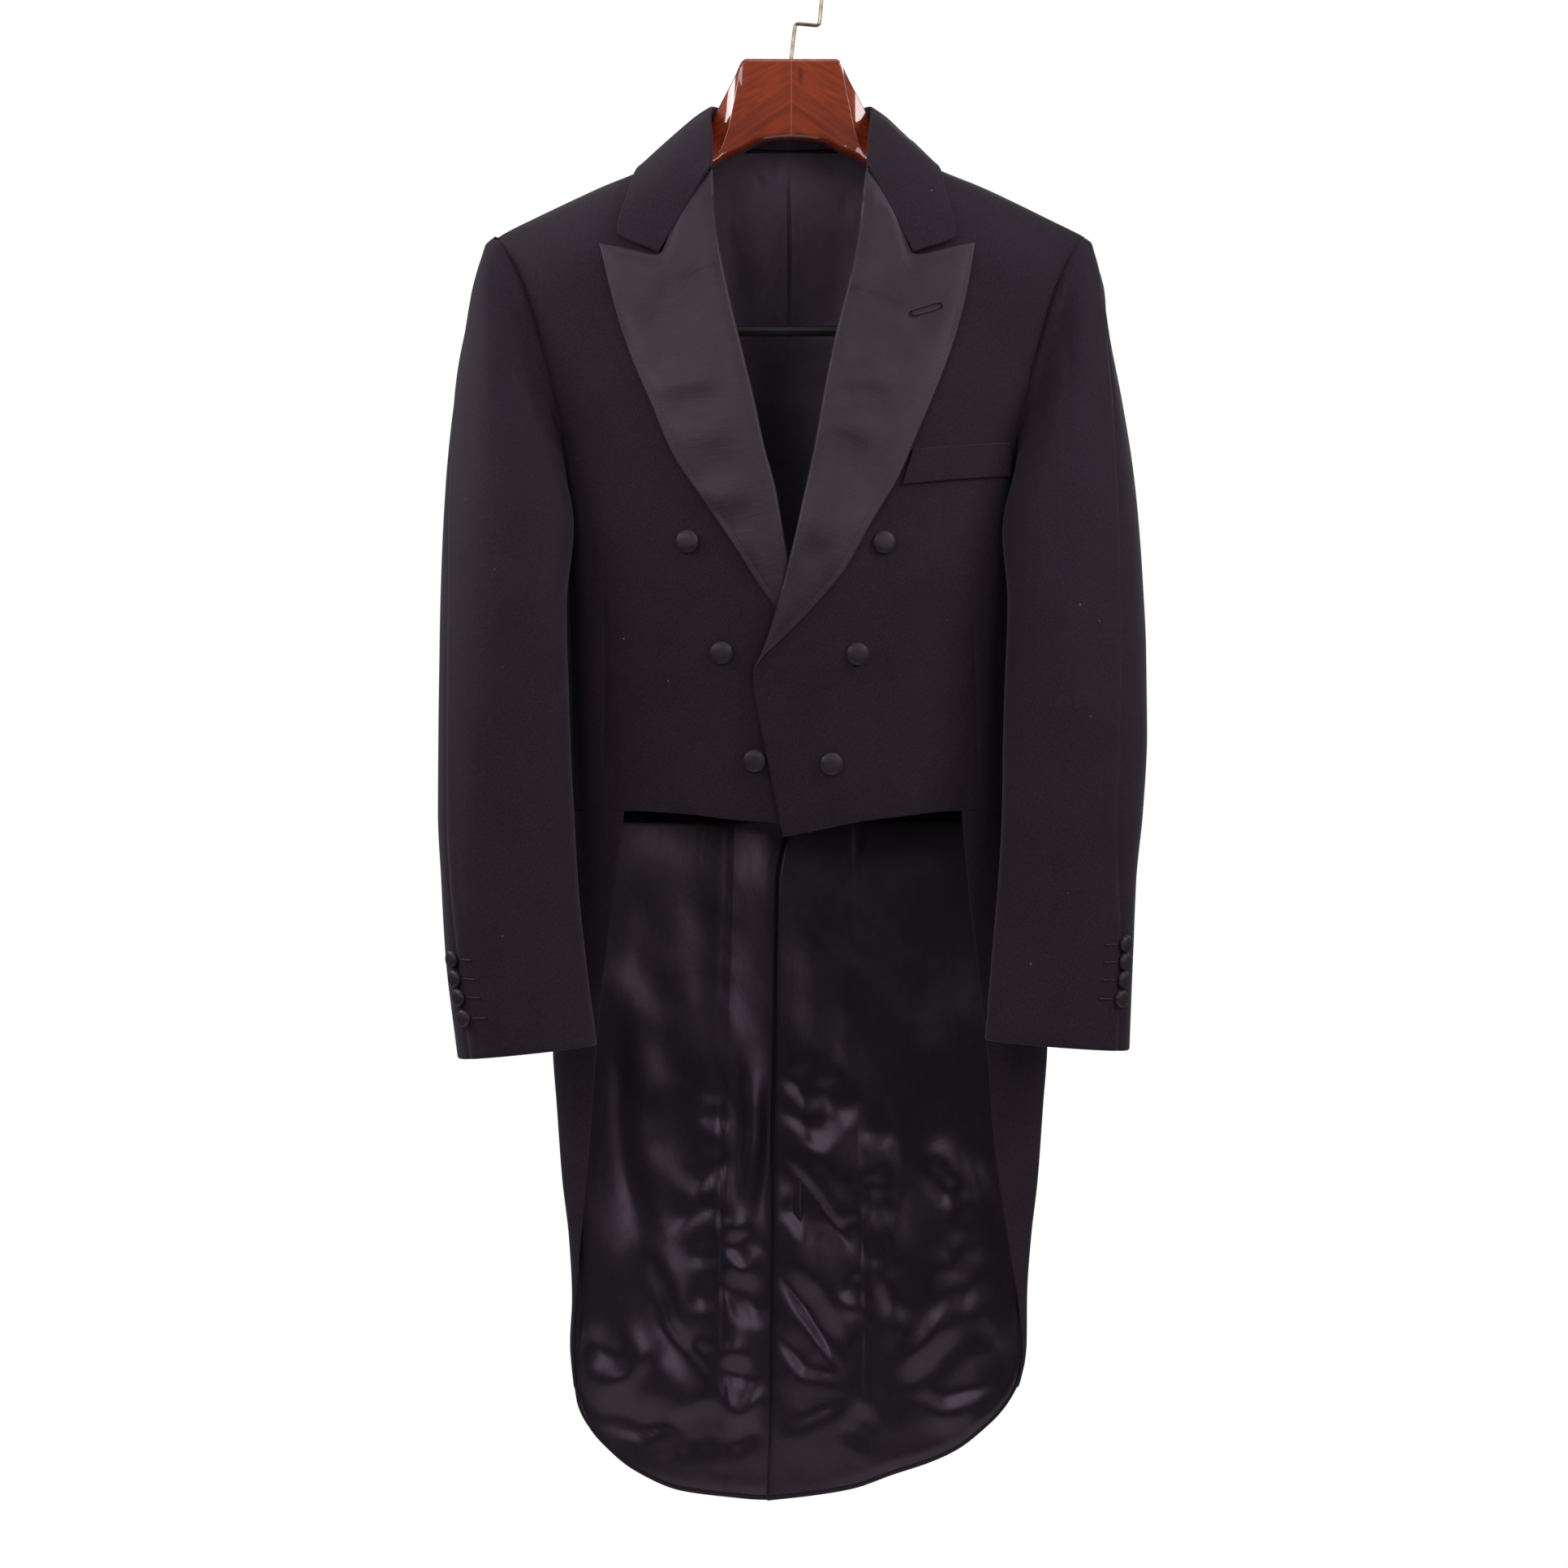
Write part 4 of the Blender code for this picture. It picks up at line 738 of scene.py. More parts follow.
LINING_CREASES = {
    "left": (
        (958, 1372, 992, 1398, 1022, 1436, -2.2, 6, 0.8),
        (957, 1432, 1004, 1494, 1060, 1572, -4.2, 5, -0.9),
        (990, 1400, 1030, 1450, 1058, 1506, 3.4, 12, 0.5),
        (957, 1496, 984, 1516, 1004, 1552, -2.4, 7, 0.7),
        (955, 1574, 1000, 1642, 1052, 1722, -4.2, 5, 0.9),
        (976, 1548, 1024, 1616, 1054, 1676, 3.0, 12, 0.5),
        (952, 1652, 994, 1706, 1060, 1720, -3.0, 6, 0.9),
        (948, 1784, 996, 1764, 1056, 1736, -2.6, 8, 0.8),
        (1114, 1320, 1120, 1450, 1108, 1580, -4.0, 12, 0.2),
        (1088, 1560, 1104, 1612, 1124, 1660, -3.0, 12, 0.0),
        (1100, 1640, 1106, 1700, 1098, 1790, -3.0, 15, 0.0),
        (1146, 1420, 1196, 1472, 1206, 1548, 3.0, 13, 0.0),
        (1206, 1520, 1190, 1566, 1150, 1600, 2.4, 13, 0.0),
        (1214, 1540, 1210, 1590, 1182, 1636, -2.6, 12, 0.0),
        (1190, 1612, 1156, 1664, 1104, 1722, 3.4, 9, 0.6),
        (1204, 1640, 1172, 1688, 1112, 1752, -3.4, 11, 0.0),
        (1118, 1724, 1172, 1740, 1256, 1716, -2.6, 8, 0.8),
        (1130, 1764, 1180, 1768, 1232, 1748, 1.8, 12, 0.0),
        (1210, 1630, 1232, 1684, 1222, 1740, -2.2, 12, 0.0),
        (1160, 1310, 1166, 1390, 1166, 1460, -1.6, 12, 0.0),
        (1206, 1310, 1212, 1410, 1220, 1500, -2.0, 12, 0.0),
        (1058, 1404, 1082, 1412, 1108, 1402, -1.5, 6, 0.8),
        (1068, 1462, 1086, 1478, 1112, 1476, -1.6, 6, 0.8),
        (1074, 1524, 1046, 1528, 1026, 1540, -1.8, 6, 0.8),
        (1068, 1520, 1090, 1506, 1112, 1500, -1.8, 7, 0.8),
        (1070, 1560, 1090, 1568, 1116, 1560, -1.6, 6, 0.8),
        (1075, 1592, 1054, 1602, 1034, 1622, -1.8, 6, 0.8),
        (1075, 1640, 1056, 1648, 1036, 1652, -1.6, 7, 0.8),
        (1078, 1756, 1062, 1780, 1050, 1812, -1.8, 11, 0.2),
        (1040, 1200, 1052, 1280, 1056, 1360, -1.8, 12, 0.2),
        (962, 1326, 984, 1348, 1008, 1388, -2.6, 7, 0.7),
        (1008, 1336, 1026, 1366, 1052, 1404, -2.4, 8, 0.5),
        (1146, 1436, 1170, 1476, 1196, 1508, -2.6, 9, 0.4),
        (990, 1100, 1004, 1200, 1010, 1320, -1.7, 15, 0.2),
        (1140, 1080, 1150, 1180, 1152, 1310, -2.0, 15, 0.2),
        (1190, 1050, 1200, 1150, 1204, 1270, -1.8, 15, 0.2),
    ),
    "right": (
        (744, 1200, 755, 1420, 787, 1592, -5.0, 13, -0.3),
        (778, 1540, 814, 1652, 880, 1748, -4.6, 6, -0.8),
        (800, 1530, 830, 1616, 846, 1690, 2.6, 13, 0.0),
        (708, 1750, 758, 1712, 812, 1656, 2.6, 11, 0.2),
        (700, 1650, 736, 1688, 786, 1704, -2.4, 12, 0.0),
        (716, 1764, 782, 1786, 840, 1766, -2.8, 6, 0.9),
        (822, 1760, 840, 1790, 846, 1830, -2.0, 11, 0.0),
        (812, 1536, 852, 1512, 890, 1488, -2.4, 6, 0.9),
        (840, 1492, 868, 1462, 900, 1434, -2.8, 7, 0.8),
        (840, 1562, 864, 1568, 888, 1562, -1.6, 6, 0.8),
        (838, 1618, 862, 1620, 884, 1626, -1.8, 6, 0.8),
        (836, 1664, 862, 1674, 884, 1668, -1.8, 7, 0.8),
        (856, 1740, 872, 1780, 874, 1830, -2.2, 11, 0.0),
        (860, 1352, 880, 1360, 900, 1352, -1.3, 6, 0.8),
        (852, 1386, 876, 1392, 898, 1384, -1.6, 6, 0.8),
        (906, 1300, 908, 1400, 902, 1510, -3.0, 6, -0.6),
        (930, 1290, 931, 1400, 928, 1510, 2.2, 11, 0.0),
        (948, 1310, 946, 1420, 934, 1550, -2.6, 7, 0.2),
        (886, 1516, 906, 1532, 930, 1526, 1.8, 6, 0.4),
        (886, 1540, 904, 1558, 926, 1588, -2.4, 6, 0.6),
        (894, 1592, 918, 1574, 940, 1552, 2.0, 7, 0.4),
        (882, 1586, 902, 1614, 918, 1660, -2.2, 6, 0.6),
        (908, 1592, 926, 1620, 940, 1660, -2.4, 8, 0.3),
        (886, 1676, 908, 1694, 932, 1688, 2.0, 7, 0.4),
        (884, 1698, 906, 1716, 934, 1720, -2.2, 7, 0.6),
        (884, 1780, 916, 1766, 942, 1726, 2.2, 8, 0.4),
        (888, 1754, 908, 1744, 932, 1710, -2.0, 7, 0.6),
        (884, 1804, 910, 1800, 938, 1780, -2.0, 8, 0.4),
        (786, 1350, 800, 1400, 806, 1460, -1.4, 13, 0.2),
        (826, 1300, 834, 1390, 830, 1470, -1.3, 14, 0.2),
        (806, 1180, 812, 1270, 812, 1360, -2.0, 15, 0.2),
        (850, 1050, 862, 1160, 866, 1310, -1.9, 14, 0.2),
        (780, 1050, 776, 1150, 766, 1260, -2.0, 15, 0.2),
        (920, 1080, 915, 1180, 908, 1300, -1.8, 11, 0.2),
    ),
}

# Lengthwise seams of the tail linings, which pucker: x0 y0 x1 y1 x2 y2.
LINING_SEAMS = {
    "left": (1060, 1000, 1068, 1500, 1072, 1800),
    "right": (895, 1000, 885, 1500, 890, 1840),
}

BACK_LINING_CREASES = (
    (971, 170, 973, 300, 973, 430, -3.4, 0.9, 0.0),
    (971, 170, 973, 300, 973, 430, 1.3, 6.0, 0.5),
    (932, 190, 934, 202, 938, 216, -1.2, 1.2, 0.3),
    (1046, 212, 1044, 232, 1041, 250, -1.6, 3.0, 0.3),
    (905, 240, 900, 320, 908, 400, -1.2, 9, 0.3),
    (1030, 240, 1036, 320, 1028, 400, -1.2, 9, 0.3),
    (935, 230, 930, 300, 936, 400, 0.8, 10, 0.2),
    (1005, 230, 1008, 300, 1004, 400, 0.8, 10, 0.2),
)

BACK_CREASES = {
    "left": (
        (1080, 330, 1110, 420, 1120, 520, -0.8, 20, 0.3),
        (1000, 760, 1040, 800, 1060, 860, 0.8, 16, 0.3),
        (995, 900, 1030, 930, 1045, 985, -0.7, 14, 0.3),
        (1000, 1200, 1020, 1400, 1030, 1700, 0.8, 14, 0.3),
        (1180, 250, 1150, 330, 1140, 430, 0.9, 22, 0.3),
    ),
    "right": (
        (870, 340, 842, 430, 832, 520, -0.8, 20, 0.3),
        (950, 750, 915, 800, 896, 850, 0.8, 16, 0.3),
        (955, 910, 925, 940, 908, 985, -0.7, 14, 0.3),
        (945, 1150, 930, 1400, 922, 1680, 0.8, 14, 0.3),
        (770, 260, 800, 340, 812, 430, 0.9, 22, 0.3),
    ),
}

SKIRT_CREASES = {
    "left": (
        (1240, 1080, 1250, 1300, 1235, 1560, 1.2, 16, 0.4),
        (1190, 1040, 1200, 1200, 1215, 1380, -0.9, 14, 0.3),
        (1270, 1180, 1272, 1360, 1258, 1520, -0.8, 14, 0.3),
        (1150, 1560, 1190, 1640, 1240, 1690, 0.9, 16, 0.3),
    ),
    "right": (
        (712, 1080, 700, 1300, 715, 1560, 1.2, 16, 0.4),
        (760, 1040, 745, 1200, 728, 1380, -0.9, 14, 0.3),
        (690, 1180, 690, 1360, 704, 1520, -0.8, 14, 0.3),
        (800, 1570, 765, 1650, 722, 1700, 0.9, 16, 0.3),
    ),
}

# Sleeve creases lie on the sleeve's own rings: ring and angle of three places, depth,
# width along the ring in degrees.
SLEEVE_CREASES = {
    "left": (
        (0.4, 60, 1.6, 72, 4.0, 84, -2.0, 9, 0.4),
        (0.4, 30, 2.0, 40, 5.0, 44, 1.0, 12, 0.3),
        (0.5, 120, 2.2, 118, 4.8, 124, -1.4, 10, 0.3),
        (6.0, 60, 8.0, 76, 10.5, 70, -0.8, 14, 0.3),
        (6.5, 150, 8.5, 140, 10.5, 150, 0.9, 14, 0.3),
        (1.0, 300, 3.5, 310, 6.0, 300, 1.2, 14, 0.4),
        (6.5, 250, 8.0, 262, 10.0, 252, -1.0, 14, 0.3),
    ),
    "right": (
        (0.4, 48, 1.8, 55, 3.4, 58, 1.4, 7, 0.5),
        (0.4, 70, 2.0, 78, 4.2, 88, -1.4, 10, 0.4),
        (0.5, 122, 2.4, 120, 5.0, 126, -1.2, 11, 0.3),
        (6.2, 70, 8.2, 84, 10.8, 76, -0.8, 14, 0.3),
        (6.5, 150, 8.5, 142, 10.5, 152, 0.9, 14, 0.3),
        (1.0, 296, 3.6, 306, 6.2, 298, 1.2, 14, 0.4),
        (6.8, 256, 8.2, 248, 10.2, 258, -1.0, 14, 0.3),
    ),
}


def sleeve_creases(side, r, theta):
    """Creases on a sleeve, laid out in rings (60 mm apart) and degrees (0.8 mm each)."""
    x, z = np.degrees(theta) * 0.8, r * 60.0
    total = np.zeros(np.broadcast(x, z).shape)
    x, z = np.broadcast_arrays(x, z)
    for r0, a0, r1, a1, r2, a2, depth, width, lean in SLEEVE_CREASES[side]:
        path = np.array(((a0 * 0.8, r0 * 60), (a1 * 0.8, r1 * 60), (a2 * 0.8, r2 * 60)))
        total += soft(x, z, path, depth, width * 0.8, lean)
    return total + swell(x, z, 3 + (side == "left"), 46, 0.5)


# ---------------------------------------------------------------- meshes


def lengths(points, axis):
    """Distance along the grid from its first row or column, in millimetres."""
    d = np.linalg.norm(np.diff(points, axis=axis), axis=-1)
    zero = np.zeros_like(np.take(d, [0], axis=axis))
    return np.concatenate([zero, np.cumsum(d, axis=axis)], axis=axis)


def edge_fall(points, radius, sides):
    """0 on the named free edges of a grid, rising as a quarter circle to 1 at the radius in from them."""
    total = np.ones(points.shape[:2])
    along = {0: lengths(points, 0), 1: lengths(points, 1)}
    for name in sides:
        axis = 0 if name in ("top", "bottom") else 1
        gap = along[axis]
        if name in ("bottom", "end"):
            gap = np.take(gap, [-1], axis=axis) - gap
        q = np.clip(1 - gap / radius, 0, 1)
        total = total * np.sqrt(np.maximum(1 - q * q, 0))
    return total


def grid_object(name, outer, inner, material, sharp=55.0):
    """A closed shell between two grids, in millimetres, with a cloth map in metres along its rows and columns."""
    rows, cols = outer.shape[:2]
    n = rows * cols
    index = np.arange(n).reshape(rows, cols)
    a, b, c, d = index[:-1, :-1], index[:-1, 1:], index[1:, 1:], index[1:, :-1]
    out = np.stack([a, b, c, d], axis=-1).reshape(-1, 4)
    into = np.stack([a, d, c, b], axis=-1).reshape(-1, 4) + n
    rim = np.concatenate([index[0], index[1:, -1], index[-1, -2::-1], index[-2:0:-1, 0]])
    after = np.roll(rim, -1)
    wall = np.stack([rim, rim + n, after + n, after], axis=-1)
    faces = np.concatenate([out, into, wall])
    points = np.concatenate([outer.reshape(-1, 3), inner.reshape(-1, 3)]) * MM
    p = points[faces]
    volume = (np.cross(p[:, 1] - p[:, 0], p[:, 2] - p[:, 0]) * p[:, 0]).sum()
    volume += (np.cross(p[:, 2] - p[:, 0], p[:, 3] - p[:, 0]) * p[:, 0]).sum()
    if volume < 0:
        faces = faces[:, ::-1]
    u, v = lengths(outer, 1), lengths(outer, 0)
    u = u - u[:, cols // 2][:, None]
    v = np.repeat(v[:, cols // 2][:, None], cols, axis=1)
    uv = np.stack([u, v], axis=-1).reshape(-1, 2) * MM
    uv = np.concatenate([uv, uv])
    return mesh_object(name, points, faces, material, sharp, uv)


def mesh_object(name, points, faces, material, sharp=55.0, uv=None):
    mesh = bpy.data.meshes.new(name)
    size = faces.shape[1]
    mesh.vertices.add(len(points))
    mesh.vertices.foreach_set("co", np.ascontiguousarray(points, np.float32).ravel())
    mesh.loops.add(faces.size)
    mesh.loops.foreach_set("vertex_index", np.ascontiguousarray(faces, np.int32).ravel())
    mesh.polygons.add(len(faces))
    mesh.polygons.foreach_set("loop_start", np.arange(0, faces.size, size, dtype=np.int32))
    mesh.update(calc_edges=True)
    mesh.validate()
    if uv is not None and len(mesh.loops) == faces.size:
        layer = mesh.uv_layers.new(name="cloth")
        layer.data.foreach_set("uv", np.ascontiguousarray(uv[faces.ravel()], np.float32).ravel())
    mesh.materials.append(material)
    mesh.shade_smooth()
    mesh.set_sharp_from_angle(angle=math.radians(sharp))
    obj = bpy.data.objects.new(name, mesh)
    bpy.context.scene.collection.objects.link(obj)
    return obj


def piece(obj, slot, *nodes):
    if nodes:
        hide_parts(*nodes)
    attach(obj, "root")
    return obj


CUTS = {}


def meet(points, sides, reach):
    """Pushes the named sewn edges of a grid outwards, so that neighbouring pieces meet in the seam."""
    points = points.copy()
    for name in sides:
        if name == "top":
            points[0] += unit(points[0] - points[2]) * reach
        elif name == "bottom":
            points[-1] += unit(points[-1] - points[-3]) * reach
        elif name == "start":
            points[:, 0] += unit(points[:, 0] - points[:, 2]) * reach
        else:
            points[:, -1] += unit(points[:, -1] - points[:, -3]) * reach
    return points


def cloth(name, sign, points, normals, outer, inner, material, slot, free=(), relief=0.0, roll=0.9, sewn=()):
    """A cloth piece that replaces its node: a shell on the grid, its free edges rounded, its creases in relief."""
    points = meet(points, sewn, 0.7)
    outer = np.broadcast_to(np.asarray(outer, float), points.shape[:2])
    inner = np.broadcast_to(np.asarray(inner, float), points.shape[:2])
    middle, half = (outer + inner) / 2, (outer - inner) / 2
    fall = edge_fall(points, roll, free) * 0.92 + 0.08
    mirror = np.array((sign, 1, 1), float)
    out = (points + normals * (middle + half * fall + relief)[..., None]) * mirror
    into = (points + normals * (middle - half * fall + relief)[..., None]) * mirror
    obj = grid_object(name, out, into, material)
    piece(obj, slot, name)
    du, dv = np.diff(out, axis=1)[:-1], np.diff(out, axis=0)[:, :-1]
    area = float(np.linalg.norm(np.cross(du, dv), axis=-1).sum()) * 1e-6
    wide = float(lengths(out, 1)[:, -1].max()) * MM
    long = float(lengths(out, 0)[-1].max()) * MM
    CUTS[name] = (wide, long, area)
    return obj


# ---------------------------------------------------------------- materials


def new_material(name):
    made = bpy.data.materials.new(name)
    made.use_nodes = True
    tree = made.node_tree
    return made, tree, tree.nodes["Principled BSDF"]


def node(tree, kind, **values):
    made = tree.nodes.new(kind)
    for key, value in values.items():
        if hasattr(made, key):
            setattr(made, key, value)
        else:
            made.inputs[key.replace("_", " ")].default_value = value
    return made


def math_node(tree, operation, a, b=None):
    made = tree.nodes.new("ShaderNodeMath")
    made.operation = operation
    for socket, value in zip(made.inputs, (a, b)):
        if value is None:
            continue
        if isinstance(value, (int, float)):
            socket.default_value = value
        else:
            tree.links.new(value, socket)
    return made.outputs[0]


def ramp(tree, factor, stops):
    made = tree.nodes.new("ShaderNodeValToRGB")
    tree.links.new(factor, made.inputs[0])
    for element, (place, colour) in zip(made.color_ramp.elements, stops[:2]):
        element.position, element.color = place, (*colour, 1)
    for place, colour in stops[2:]:
        element = made.color_ramp.elements.new(place)
        element.color = (*colour, 1)
    return made.outputs[0]


def noise(tree, vector, scale, detail=3.0, rough=0.5, distortion=0.0):
    made = tree.nodes.new("ShaderNodeTexNoise")
    made.inputs["Scale"].default_value = scale
    made.inputs["Detail"].default_value = detail
    made.inputs["Roughness"].default_value = rough
    made.inputs["Distortion"].default_value = distortion
    tree.links.new(vector, made.inputs["Vector"])
    return made.outputs[0]


def stretched(tree, source, scale, turn=0.0):
    made = tree.nodes.new("ShaderNodeMapping")
    made.inputs["Scale"].default_value = scale
    made.inputs["Rotation"].default_value = (0, 0, turn)
    tree.links.new(source, made.inputs["Vector"])
    return made.outputs[0]


def bump(tree, height, strength, distance, normal=None):
    made = tree.nodes.new("ShaderNodeBump")
    made.inputs["Strength"].default_value = strength
    made.inputs["Distance"].default_value = distance
    tree.links.new(height, made.inputs["Height"])
    if normal is not None:
        tree.links.new(normal, made.inputs["Normal"])
    return made.outputs[0]


def cloth_vector(tree, mapped):
    if mapped:
        made = tree.nodes.new("ShaderNodeUVMap")
        made.uv_map = "cloth"
        return made.outputs[0]
    return tree.nodes.new("ShaderNodeTexCoord").outputs["Object"]


def wool(name, dark=(0.0085, 0.0053, 0.0085), light=(0.0200, 0.0132, 0.0200), mapped=True):
    """Worsted wool: a fine steep twill, slow cloudiness, a soft nap and a few specks of lint."""
    made, tree, shader = new_material(name)
    where = cloth_vector(tree, mapped)
    solid = tree.nodes.new("ShaderNodeTexCoord").outputs["Object"]
    twill = noise(tree, stretched(tree, where, (1500, 420, 420), math.radians(27)), 1.0, 2.0, 0.6)
    thread = noise(tree, stretched(tree, where, (560, 1300, 560), math.radians(-8)), 1.0, 2.0, 0.6)
    cloud = noise(tree, solid, 22.0, 4.0, 0.55, 0.4)
    weave = math_node(tree, "ADD", math_node(tree, "MULTIPLY", twill, 0.6), math_node(tree, "MULTIPLY", thread, 0.4))
    grain = noise(tree, solid, 640.0, 2.0, 0.7)
    mixed = math_node(tree, "ADD", math_node(tree, "MULTIPLY", weave, 0.50), math_node(tree, "MULTIPLY", cloud, 0.20))
    tone = math_node(tree, "ADD", mixed, math_node(tree, "MULTIPLY", grain, 0.30))
    body = ramp(tree, tone, ((0.41, dark), (0.61, light)))
    specks = tree.nodes.new("ShaderNodeTexVoronoi")
    specks.inputs["Scale"].default_value = 44.0
    tree.links.new(solid, specks.inputs["Vector"])
    dots = ramp(tree, math_node(tree, "MULTIPLY", specks.outputs["Distance"], 6.0), ((0.10, (1, 1, 1)), (0.24, (0, 0, 0))))
    some = ramp(tree, specks.outputs["Color"], ((0.48, (0, 0, 0)), (0.62, (1, 1, 1))))
    lint = math_node(tree, "MULTIPLY", dots, some)
    mix = tree.nodes.new("ShaderNodeMix")
    mix.data_type = "RGBA"
    mix.inputs[7].default_value = (0.16, 0.15, 0.16, 1)
    amount = math_node(tree, "MULTIPLY", lint, 0.8)
    tree.links.new(amount, mix.inputs[0])
    tree.links.new(body, mix.inputs[6])
    tree.links.new(mix.outputs[2], shader.inputs["Base Color"])
    rough = math_node(tree, "ADD", math_node(tree, "MULTIPLY", cloud, 0.12), 0.74)
    tree.links.new(rough, shader.inputs["Roughness"])
    shader.inputs["Specular IOR Level"].default_value = 0.22
    shader.inputs["Specular Tint"].default_value = (1.0, 0.80, 1.0, 1)
    shader.inputs["Sheen Weight"].default_value = 0.10
    shader.inputs["Sheen Roughness"].default_value = 0.42
    shader.inputs["Sheen Tint"].default_value = (0.86, 0.78, 0.88, 1)
    coarse = bump(tree, cloud, 0.10, 0.002)
    tree.links.new(bump(tree, weave, 0.28, 0.0006, coarse), shader.inputs["Normal"])
    return made


def satin(name, dark=(0.0160, 0.0112, 0.0160), light=(0.0250, 0.0182, 0.0250), rough=0.42, mapped=True):
    """Silk satin: close floats across the cloth, a broad soft gleam."""
    made, tree, shader = new_material(name)
    where = cloth_vector(tree, mapped)
    solid = tree.nodes.new("ShaderNodeTexCoord").outputs["Object"]
    floats = noise(tree, stretched(tree, where, (500, 3600, 500)), 1.0, 2.0, 0.6)
    slub = noise(tree, stretched(tree, where, (35, 520, 60)), 1.0, 3.0, 0.6)
    cloud = noise(tree, solid, 30.0, 4.0, 0.6, 0.6)
    grain = noise(tree, solid, 700.0, 2.0, 0.7)
    mixed = math_node(tree, "ADD", math_node(tree, "MULTIPLY", slub, 0.36), math_node(tree, "MULTIPLY", cloud, 0.34))
    tone = math_node(tree, "ADD", mixed, math_node(tree, "MULTIPLY", grain, 0.30))
    tree.links.new(ramp(tree, tone, ((0.38, dark), (0.64, light))), shader.inputs["Base Color"])
    roughness = math_node(tree, "ADD", math_node(tree, "MULTIPLY", cloud, 0.14), rough)
    tree.links.new(roughness, shader.inputs["Roughness"])
    shader.inputs["Specular IOR Level"].default_value = 0.34
    shader.inputs["Specular Tint"].default_value = (1.0, 0.84, 1.0, 1)
    shader.inputs["Anisotropic"].default_value = 0.35
    shader.inputs["Sheen Weight"].default_value = 0.10
    shader.inputs["Sheen Roughness"].default_value = 0.3
    wavy = bump(tree, cloud, 0.16, 0.003)
    ribs = bump(tree, slub, 0.14, 0.0008, wavy)
    tree.links.new(bump(tree, floats, 0.12, 0.0004, ribs), shader.inputs["Normal"])
    return made


def lining(name, dark=(0.0018, 0.0011, 0.0018), light=(0.0036, 0.0023, 0.0036), rough=0.27):
    """Smooth lining satin, nearly black, with a clear gleam on its folds and fine rumples."""
    made, tree, shader = new_material(name)
    where = cloth_vector(tree, True)
    solid = tree.nodes.new("ShaderNodeTexCoord").outputs["Object"]
    threads = noise(tree, stretched(tree, where, (3000, 900, 900)), 1.0, 2.0, 0.6)
    rumple = noise(tree, stretched(tree, solid, (34, 34, 20)), 1.0, 4.0, 0.55, 1.2)
    fine = noise(tree, stretched(tree, solid, (120, 120, 70)), 1.0, 3.0, 0.5, 0.6)
    tree.links.new(ramp(tree, rumple, ((0.30, dark), (0.70, light))), shader.inputs["Base Color"])
    roughness = math_node(tree, "ADD", math_node(tree, "MULTIPLY", fine, 0.12), rough)
    tree.links.new(roughness, shader.inputs["Roughness"])
    shader.inputs["Specular IOR Level"].default_value = 0.42
    shader.inputs["Specular Tint"].default_value = (1.0, 0.76, 1.0, 1)
    shader.inputs["Anisotropic"].default_value = 0.25
    shader.inputs["Sheen Weight"].default_value = 0.05
    first = bump(tree, rumple, 0.06, 0.005)
    second = bump(tree, fine, 0.05, 0.002, first)
    tree.links.new(bump(tree, threads, 0.08, 0.0004, second), shader.inputs["Normal"])
    return made


